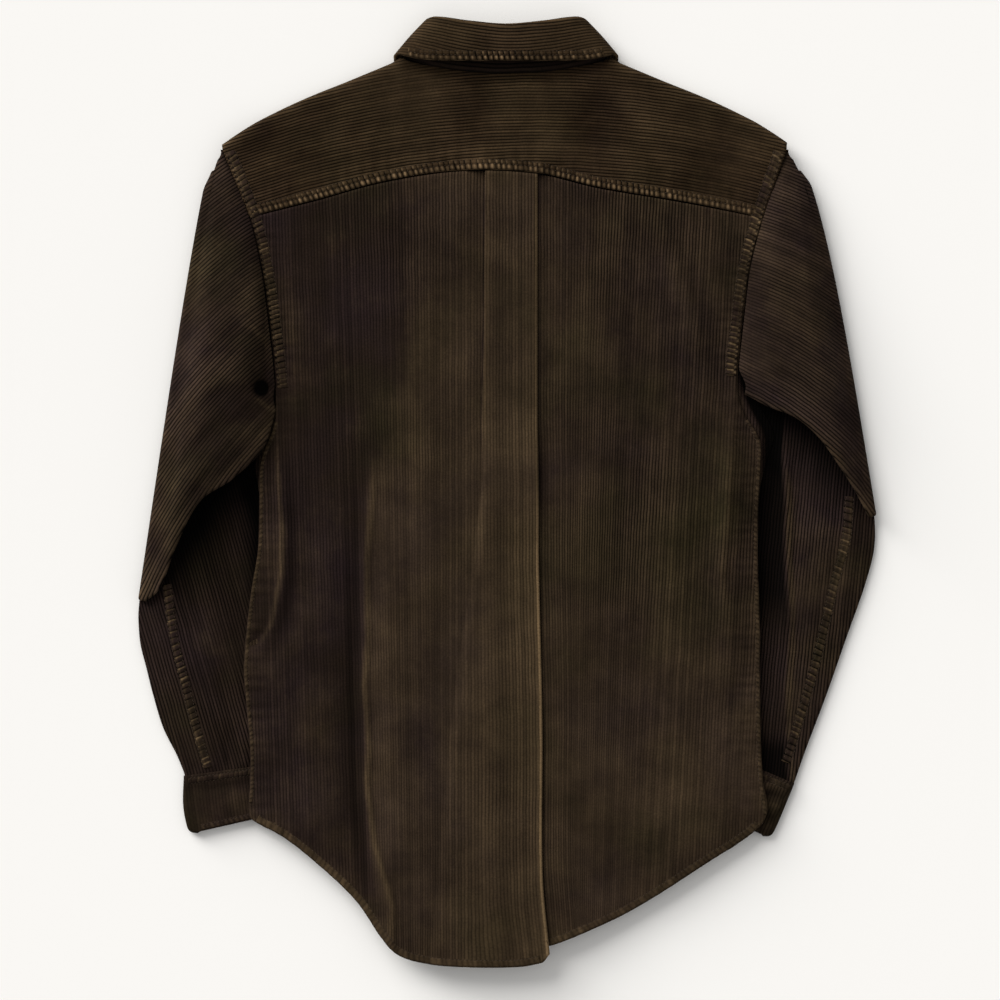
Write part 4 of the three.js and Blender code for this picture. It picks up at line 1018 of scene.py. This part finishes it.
def button_piece(name, y):
    """A dished button with four sewing holes, its face down."""
    made_of = bmesh.new()
    bmesh.ops.create_cone(
        made_of, cap_ends=True, segments=40, radius1=BUTTON_RADIUS * MM,
        radius2=(BUTTON_RADIUS - 0.8) * MM, depth=BUTTON_THICK * MM,
    )
    face = min(made_of.faces, key=lambda f: f.calc_center_median().z)
    bmesh.ops.inset_region(made_of, faces=[face], thickness=1.5 * MM)
    bmesh.ops.translate(made_of, verts=list(face.verts), vec=(0, 0, 0.7 * MM))
    edges = [e for e in made_of.edges if len(e.link_faces) == 2 and e.calc_face_angle(0) > 0.5]
    bmesh.ops.bevel(
        made_of, geom=edges, offset=0.35 * MM, offset_type="OFFSET", segments=3, profile=0.5,
        affect="EDGES", material=-1,
    )
    for sx in (-1, 1):
        for sy in (-1, 1):
            centre = Matrix.Translation(Vector((sx * 1.5, sy * 1.5, -BUTTON_THICK / 2 + 0.66)) * MM)
            bmesh.ops.create_cone(
                made_of, cap_ends=True, segments=14, radius1=0.75 * MM, radius2=0.75 * MM,
                depth=0.12 * MM, matrix=centre,
            )
    bmesh.ops.translate(
        made_of, verts=made_of.verts, vec=Vector((SHIFT[0], y + SHIFT[1], BUTTON_THICK / 2)) * MM
    )
    return finished(name, made_of)


class Nodes:
    """Short calls for building one material."""

    def __init__(self, name):
        self.material = bpy.data.materials.new(name)
        self.material.use_nodes = True
        self.tree = self.material.node_tree
        self.surface = self.tree.nodes["Principled BSDF"]

    def add(self, kind, **settings):
        node = self.tree.nodes.new(kind)
        for key, value in settings.items():
            setattr(node, key, value)
        return node

    def link(self, source, target):
        self.tree.links.new(source, target)

    def math(self, operation, a, b=None, c=None, clamp=False):
        node = self.add("ShaderNodeMath", operation=operation, use_clamp=clamp)
        for socket, value in zip(node.inputs, (a, b, c)):
            if value is None:
                continue
            if isinstance(value, (int, float)):
                socket.default_value = value
            else:
                self.link(value, socket)
        return node.outputs[0]

    def noise(self, vector, scale, detail=2.0, rough=0.5):
        node = self.add("ShaderNodeTexNoise")
        node.inputs["Scale"].default_value = scale
        node.inputs["Detail"].default_value = detail
        node.inputs["Roughness"].default_value = rough
        self.link(vector, node.inputs["Vector"])
        return node.outputs["Fac"]

    def blend(self, factor, a, b, kind="MIX"):
        node = self.add("ShaderNodeMix", data_type="RGBA", blend_type=kind)
        for socket, value in ((node.inputs[0], factor), (node.inputs[6], a), (node.inputs[7], b)):
            if isinstance(value, (int, float)):
                socket.default_value = value
            elif isinstance(value, tuple):
                socket.default_value = (*value, 1)
            else:
                self.link(value, socket)
        return node.outputs[2]


# Dyes of the cloth: plain, towards olive, towards plum, and where it has faded, which also
# colours the painted highlights.
BODY_DYES = (
    (0.0147, 0.0090, 0.0063), (0.0140, 0.0108, 0.0048), (0.0155, 0.0094, 0.0092),
    (0.052, 0.0345, 0.0180),
)
YOKE_DYES = (
    (0.0155, 0.0089, 0.0043), (0.0148, 0.0101, 0.0041), (0.0158, 0.0087, 0.0060),
    (0.052, 0.0338, 0.0176),
)


def corduroy(name, plain, olive, plum, faded):
    """Wales across the cloth's own map, each with its tufts, and the piece's wear with its painted
    highlights and painted shade.
    """
    m = Nodes(name)
    uv = m.add("ShaderNodeUVMap", uv_map="cloth").outputs["UV"]
    place = m.add("ShaderNodeTexCoord").outputs["Object"]
    wear_and_painted_light = m.add("ShaderNodeAttribute", attribute_name="wear_and_painted_light").outputs["Fac"]
    tint = m.add("ShaderNodeAttribute", attribute_name="tint").outputs["Fac"]
    crisp = m.add("ShaderNodeAttribute", attribute_name="crisp").outputs["Fac"]
    crushed = m.noise(place, 13.0, 3, 0.55)
    crisp = m.math("MULTIPLY", crisp, m.math("MULTIPLY_ADD", crushed, 3.0, -0.5))
    crisp = m.math("MINIMUM", m.math("MAXIMUM", crisp, 0.15), 1.4)
    split = m.add("ShaderNodeSeparateXYZ")
    m.link(uv, split.inputs[0])
    wander = m.math("MULTIPLY", m.math("SUBTRACT", m.noise(uv, 38, 2), 0.5), 0.0016)
    across = m.math("ADD", split.outputs["X"], wander)
    phase = m.math("DIVIDE", across, WALE * MM)
    inside = m.math("FRACT", phase)
    number = m.math("FLOOR", phase)
    off = m.math("MULTIPLY", m.math("ABSOLUTE", m.math("SUBTRACT", inside, 0.5)), 2.0)
    rib = m.math("SUBTRACT", 1.0, m.math("POWER", off, 2.3))
    each = m.add("ShaderNodeTexWhiteNoise", noise_dimensions="1D")
    m.link(number, each.inputs["W"])
    each = each.outputs["Value"]
    tuft_place = m.add("ShaderNodeCombineXYZ")
    m.link(m.math("MULTIPLY", phase, 1.6), tuft_place.inputs["X"])
    m.link(m.math("MULTIPLY", split.outputs["Y"], 620.0), tuft_place.inputs["Y"])
    tuft = m.noise(tuft_place.outputs[0], 1.0, 3, 0.6)
    streak_place = m.add("ShaderNodeCombineXYZ")
    m.link(m.math("MULTIPLY", number, 3.7), streak_place.inputs["X"])
    m.link(m.math("MULTIPLY", split.outputs["Y"], 90.0), streak_place.inputs["Y"])
    streak = m.noise(streak_place.outputs[0], 1.0, 2, 0.6)
    patch = m.noise(place, 9.0, 3, 0.6)
    cloud = m.noise(place, 24.0, 3, 0.6)
    # Colour: plain cloth to faded, where the faded dye also gives the painted highlights, leaning
    # to olive or plum, with paler crests and painted shade in the grooves.
    stains = m.math("MULTIPLY", m.math("SUBTRACT", patch, 0.5), 4.5)
    lean = m.math("ADD", m.math("MULTIPLY", tint, 0.6), stains)
    to_olive = m.math("MULTIPLY", lean, 1.0, clamp=True)
    to_plum = m.math("MULTIPLY", lean, -1.0, clamp=True)
    base = m.blend(to_olive, plain, olive)
    base = m.blend(to_plum, base, plum)
    fading_and_highlight = m.math("ADD", wear_and_painted_light, m.math("MULTIPLY", m.math("SUBTRACT", cloud, 0.5), 0.6))
    streaks = m.math("MULTIPLY", m.math("SUBTRACT", streak, 0.5), 0.25)
    fading_and_highlight = m.math("ADD", fading_and_highlight, streaks, clamp=True)
    base = m.blend(fading_and_highlight, base, faded)
    crest_light_and_shade = m.math("MULTIPLY", m.math("SUBTRACT", rib, 0.69), 1.35)
    shade = m.math("MULTIPLY_ADD", crest_light_and_shade, crisp, 1.0)
    shade = m.math("MULTIPLY", shade, m.math("MULTIPLY_ADD", each, 0.4, 0.8))
    shade = m.math("MULTIPLY", shade, m.math("MULTIPLY_ADD", tuft, 1.1, 0.45))
    shade = m.math("MULTIPLY", shade, m.math("MULTIPLY_ADD", cloud, 0.9, 0.55))
    # Painted shade: values below zero darken the cloth. Values above 0.8 brighten it, for worn
    # edges and painted highlights.
    painted_shade = m.math("MULTIPLY_ADD", m.math("MINIMUM", wear_and_painted_light, 0.0), 0.95, 1.0)
    shade = m.math("MULTIPLY", shade, m.math("MAXIMUM", painted_shade, 0.04))
    wear_and_highlight = m.math("MULTIPLY_ADD", m.math("MAXIMUM", m.math("SUBTRACT", wear_and_painted_light, 0.8), 0.0), 1.5, 1.0)
    shade = m.math("MULTIPLY", shade, wear_and_highlight)
    scaled = m.add("ShaderNodeVectorMath", operation="SCALE")
    m.link(base, scaled.inputs[0])
    m.link(shade, scaled.inputs["Scale"])
    m.link(scaled.outputs[0], m.surface.inputs["Base Color"])
    relief = m.math("MULTIPLY", m.math("MULTIPLY", rib, 0.75), crisp)
    height = m.math("ADD", relief, m.math("MULTIPLY", tuft, 0.28))
    height = m.math("ADD", height, m.math("MULTIPLY", each, 0.12))
    bump = m.add("ShaderNodeBump")
    bump.inputs["Strength"].default_value = 0.75
    bump.inputs["Distance"].default_value = 0.0007
    m.link(height, bump.inputs["Height"])
    m.link(bump.outputs[0], m.surface.inputs["Normal"])
    rough = m.math("MULTIPLY_ADD", tuft, 0.14, 0.82)
    m.link(rough, m.surface.inputs["Roughness"])
    m.surface.inputs["Specular IOR Level"].default_value = 0.03
    m.surface.inputs["Sheen Weight"].default_value = 0.015
    m.surface.inputs["Sheen Roughness"].default_value = 0.45
    m.surface.inputs["Sheen Tint"].default_value = (0.9, 0.7, 0.5, 1)
    return m.material


THREAD_DYES = ((0.018, 0.011, 0.006), (0.05, 0.034, 0.02))
RESIN_DYES = ((0.008, 0.005, 0.003), (0.05, 0.03, 0.016))


def thread():
    m = Nodes("sewing_thread")
    place = m.add("ShaderNodeTexCoord").outputs["Object"]
    fuzz = m.noise(place, 900, 2)
    m.link(m.blend(fuzz, *THREAD_DYES), m.surface.inputs["Base Color"])
    m.surface.inputs["Roughness"].default_value = 0.8
    m.surface.inputs["Specular IOR Level"].default_value = 0.2
    return m.material


def button_resin():
    m = Nodes("button_resin")
    place = m.add("ShaderNodeTexCoord").outputs["Object"]
    cloud = m.noise(place, 240, 4, 0.65)
    m.link(m.blend(cloud, *RESIN_DYES), m.surface.inputs["Base Color"])
    m.link(m.math("MULTIPLY_ADD", m.noise(place, 900, 3), 0.25, 0.3), m.surface.inputs["Roughness"])
    bump = m.add("ShaderNodeBump")
    bump.inputs["Strength"].default_value = 0.25
    bump.inputs["Distance"].default_value = 0.0001
    m.link(m.noise(place, 1500, 2), bump.inputs["Height"])
    m.link(bump.outputs[0], m.surface.inputs["Normal"])
    return m.material


# Each cloth piece, then the seams that are sewn on it.
back = back_panel()
yoke = yoke_cloth()
front_left = front_cloth("front_left_cloth", -1, LEFT_BAND_LIFT)
front_right = front_cloth("front_right_cloth", 1, RIGHT_BAND_LIFT)
sleeve_left = sleeve_cloth(
    "sleeve_left_cloth", SLEEVE_LEFT_ABOVE, SLEEVE_LEFT_BELOW, -1, (174, -302), 106,
    lambda x, y: folds(x, y, SLEEVE_LEFT_FOLDS) + 0.5 * waves(x, y, 61, 40) - 5 * shaded_hollow(x, y),
    lambda x, y: folds(x, y, FOREARM_LEFT_FOLDS) + 0.4 * waves(x, y, 62, 34),
    left_wear_and_light,
)
sleeve_right = sleeve_cloth(
    "sleeve_right_cloth", SLEEVE_RIGHT_ABOVE, SLEEVE_RIGHT_BELOW, 1, (69, -180), 84.2,
    lambda x, y: folds(x, y, SLEEVE_RIGHT_FOLDS) + 0.5 * waves(x, y, 63, 40),
    lambda x, y: folds(x, y, FOREARM_RIGHT_FOLDS) + 0.4 * waves(x, y, 64, 34),
    right_wear_and_light,
)
cuff_left = cuff_cloth("cuff_left_cloth", CUFF_LEFT, -1, lambda x, y: folds(x, y, CUFF_LEFT_FOLDS))
cuff_right = cuff_cloth(
    "cuff_right_cloth", CUFF_RIGHT, 1, lambda x, y: folds(x, y, CUFF_RIGHT_FOLDS)
)
stand = stand_cloth()
collar = collar_cloth()


def edge_route(side, high, low, step, inset=0.6):
    ys = np.arange(high, low, -step)
    at = body_edge(ys)[0 if side < 0 else 1]
    return [(float(x) - side * inset, float(y)) for x, y in zip(at, ys)]


def line_route(read, x_from, x_to, step, up=0.0):
    xs = np.arange(x_from, x_to, step)
    return [(float(x), float(y) + up) for x, y in zip(xs, read(xs)[0])]


def rounded_hem():
    """The left hem, turned up at the corner where the pleat ends."""
    straight = line_route(hem_left, -213, 34, 9, 0.5)
    return [(x, y + 0.18 * max(x - 30.2, 0) ** 2) for x, y in straight]


# Kinds of seam: width, wear, pucker, where its rows of stitches run across it, the pitch of its
# puckers, how far it stands out and how thick its puckers are.
SEWN = {
    "yoke": (9.2, 0.72, 0.3, (0.5, 0.88), 4.6, 0.75, 1.0),
    "armhole": (10, 0.55, 0.45, (0.2, 0.86), 4.5, 0.75, 1.15),
    "side": (3.2, 0.75, 0.25, (0.86,), 4.1, 0.5, 0.3),
    "hem_left": (7, 0.95, 0.2, (0.85,), 4.6, 0.55, 0.16),
    "hem_right": (7, 0.9, 0.2, (0.85,), 4.6, 0.55, 0.16),
    "collar": (8.4, 0.75, 0.3, (0.46, 0.9), 5.2, 0.75, 1.0),
    "forearm_left": (9, 0.5, 0.45, (0.14, 0.84), 5.2, 0.75, 1.15),
    "forearm_right": (9.5, 0.5, 0.45, (0.14, 0.84), 5.2, 0.75, 1.15),
    "cuff_top": (6, 0.4, 0.4, (0.13, 0.87), 4.4, 0.75, 0.6),
    "cuff_end": (5, 0.45, 0.4, (0.8,), 4.4, 0.75, 0.25),
}
COLLAR_EDGE = [
    (-84, 370.5), (-70, 367.9), (-38, 366.9), (0, 366.9), (38, 366.9), (70, 367.9), (84, 370.5),
]
FOREARM_LEFT = [(-293, -79), (-286.5, -126), (-276, -169), (-267.5, -203), (-258, -236)]
FOREARM_RIGHT = [
    (297, -4), (294, -41), (284, -79), (272, -131), (263, -166), (251, -206), (243, -232),
]
CUFF_TOP_LEFT = [(-271, -243), (-240, -238.6), (-205, -233.6), (-170, -229)]
CUFF_END_LEFT = [(-259, -287.6), (-235, -282.2), (-200, -274), (-167, -266.8)]
CUFF_TOP_RIGHT = [(243, -249), (215, -237), (185, -224), (150, -209.5)]
CUFF_END_RIGHT = [(216, -289.8), (195, -280.6), (165, -267), (130, -252.6)]
# Each seam: its node, name, kind and route, and the side of the route that it lies on.
SEAMS = [
    ("yoke", "yoke_seam", "yoke", line_route(yoke_seam, -219, 219, 12, 0.9), 1),
    ("back", "armhole_seam_left", "armhole", edge_route(-1, 288, 84, 10, 0.9), 1),
    ("back", "armhole_seam_right", "armhole", edge_route(1, 288, 92, 10, 0.9), -1),
    ("back", "side_seam_left", "side", edge_route(-1, 60, -274, 12), 1),
    ("back", "side_seam_right", "side", edge_route(1, 62, -280, 12), -1),
    ("back", "hem_left", "hem_left", rounded_hem(), 1),
    ("back", "hem_right", "hem_right", line_route(hem_right, 36, 219, 9, 0.5), 1),
    ("collar", "collar_edge", "collar", COLLAR_EDGE, 1),
    ("sleeve_left", "forearm_seam_left", "forearm_left", FOREARM_LEFT, 1),
    ("sleeve_right", "forearm_seam_right", "forearm_right", FOREARM_RIGHT, -1),
    ("cuff_left", "cuff_top_left", "cuff_top", CUFF_TOP_LEFT, -1),
    ("cuff_left", "cuff_end_left", "cuff_end", CUFF_END_LEFT, 1),
    ("cuff_right", "cuff_top_right", "cuff_top", CUFF_TOP_RIGHT, 1),
    ("cuff_right", "cuff_end_right", "cuff_end", CUFF_END_RIGHT, -1),
]
strips = {}
for seed, (node, name, kind, route, inward) in enumerate(SEAMS, 2):
    under = ["yoke_cloth", "back_cloth"] if kind == "armhole" else [node + "_cloth"]
    strips.setdefault(node, []).append(seam_strip(name, kind, route, under, inward, seed))

CORDUROY = corduroy("corduroy", *BODY_DYES)
YOKE_CORDUROY = corduroy("corduroy_of_the_yoke", *YOKE_DYES)
THREAD = thread()
RESIN = button_resin()


def dyed(node):
    return YOKE_CORDUROY if node in ("yoke", "collar") else CORDUROY


def finish_piece(piece, material, node=None):
    piece.data.materials.append(material)
    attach(piece, "root")
    if node:
        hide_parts(node)


for node, group in strips.items():
    for strip, sewing in group:
        finish_piece(strip, dyed(node))
        finish_piece(sewing, THREAD)


def extras(node):
    return [piece for pair in strips.get(node, []) for piece in pair]


# The piece that each one lies on, where it isn't the left front.
RESTS_ON = {"yoke": "back", "front_left": "sleeve_left"}
# Each piece with its node, the flat width and length of its cut in metres and its flat area.
CUTS = [
    (back, "back", (0.52, 0.68), 0.31),
    (yoke, "yoke", (0.48, 0.17), 0.068),
    (front_left, "front_left", (0.24, 0.72), 0.146),
    (front_right, "front_right", (0.24, 0.72), 0.146),
    (sleeve_left, "sleeve_left", (0.44, 0.53), 0.13),
    (sleeve_right, "sleeve_right", (0.44, 0.53), 0.13),
    (cuff_left, "cuff_left", (0.22, 0.045), None),
    (cuff_right, "cuff_right", (0.22, 0.05), None),
    (stand, "collar_stand", (0.40, 0.035), None),
    (collar, "collar", (0.42, 0.045), None),
]
for piece, node, flat, area in CUTS:
    finish_piece(piece, dyed(node), node)
    rests_on, sewn_on = [RESTS_ON.get(node, "front_left")], extras(node)
    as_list(rests_on)
    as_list(sewn_on)

for i in range(BUTTONS):
    disc = button_piece(f"button_disc_{i + 1}", FIRST_BUTTON_Y - BUTTON_PITCH * i)
    finish_piece(disc, RESIN, f"button_{i + 1}")

TABLE_SIZE = 4.0
TABLE_GAP = 0.0003
TABLE_COLOUR = (0.885, 0.877, 0.862, 1)


def pale_table():
    slab = bmesh.new()
    bmesh.ops.create_grid(slab, x_segments=2, y_segments=2, size=TABLE_SIZE)
    bmesh.ops.translate(slab, verts=slab.verts, vec=(0, 0, -TABLE_GAP))
    piece = finished("table", slab)
    m = Nodes("pale_table")
    m.surface.inputs["Base Color"].default_value = TABLE_COLOUR
    m.surface.inputs["Roughness"].default_value = 0.9
    m.surface.inputs["Specular IOR Level"].default_value = 0.1
    piece.data.materials.append(m.material)


pale_table()
FRAME_WIDTH = 0.8526
PICTURE_CENTRE = Vector((-0.0051, -0.0068, 0))
LENS = 200.0
SENSOR = 36.0
WINDOW_COLOUR = (1.0, 0.985, 0.96)
ROOM_COLOUR = (1.0, 0.995, 0.985, 1)
ROOM_LIGHT = 0.5
camera = bpy.data.objects.new("camera", bpy.data.cameras.new("camera"))
bpy.context.collection.objects.link(camera)
camera.data.sensor_width = SENSOR
camera.data.lens = LENS
camera.location = PICTURE_CENTRE + Vector((0, 0, FRAME_WIDTH * LENS / SENSOR))
bpy.context.scene.camera = camera


def window_light(name, azimuth, elevation, strength, spread):
    """Even light from a wide window that is far away."""
    lamp = bpy.data.lights.new(name, "SUN")
    lamp.energy = strength
    lamp.angle = math.radians(spread)
    lamp.color = WINDOW_COLOUR
    holder = bpy.data.objects.new(name, lamp)
    a, e = math.radians(azimuth), math.radians(elevation)
    towards = Vector((math.cos(a) * math.cos(e), math.sin(a) * math.cos(e), math.sin(e)))
    holder.rotation_euler = towards.to_track_quat("Z", "Y").to_euler()
    bpy.context.collection.objects.link(holder)


window_light("window", 128, 26, 3.3, 48)
window_light("low_window", 138, 13, 1.65, 26)
world = bpy.data.worlds.new("room")
world.use_nodes = True
room = world.node_tree.nodes["Background"]
room.inputs["Color"].default_value = ROOM_COLOUR
room.inputs["Strength"].default_value = ROOM_LIGHT
bpy.context.scene.world = world
bpy.context.scene.view_settings.view_transform = "Standard"
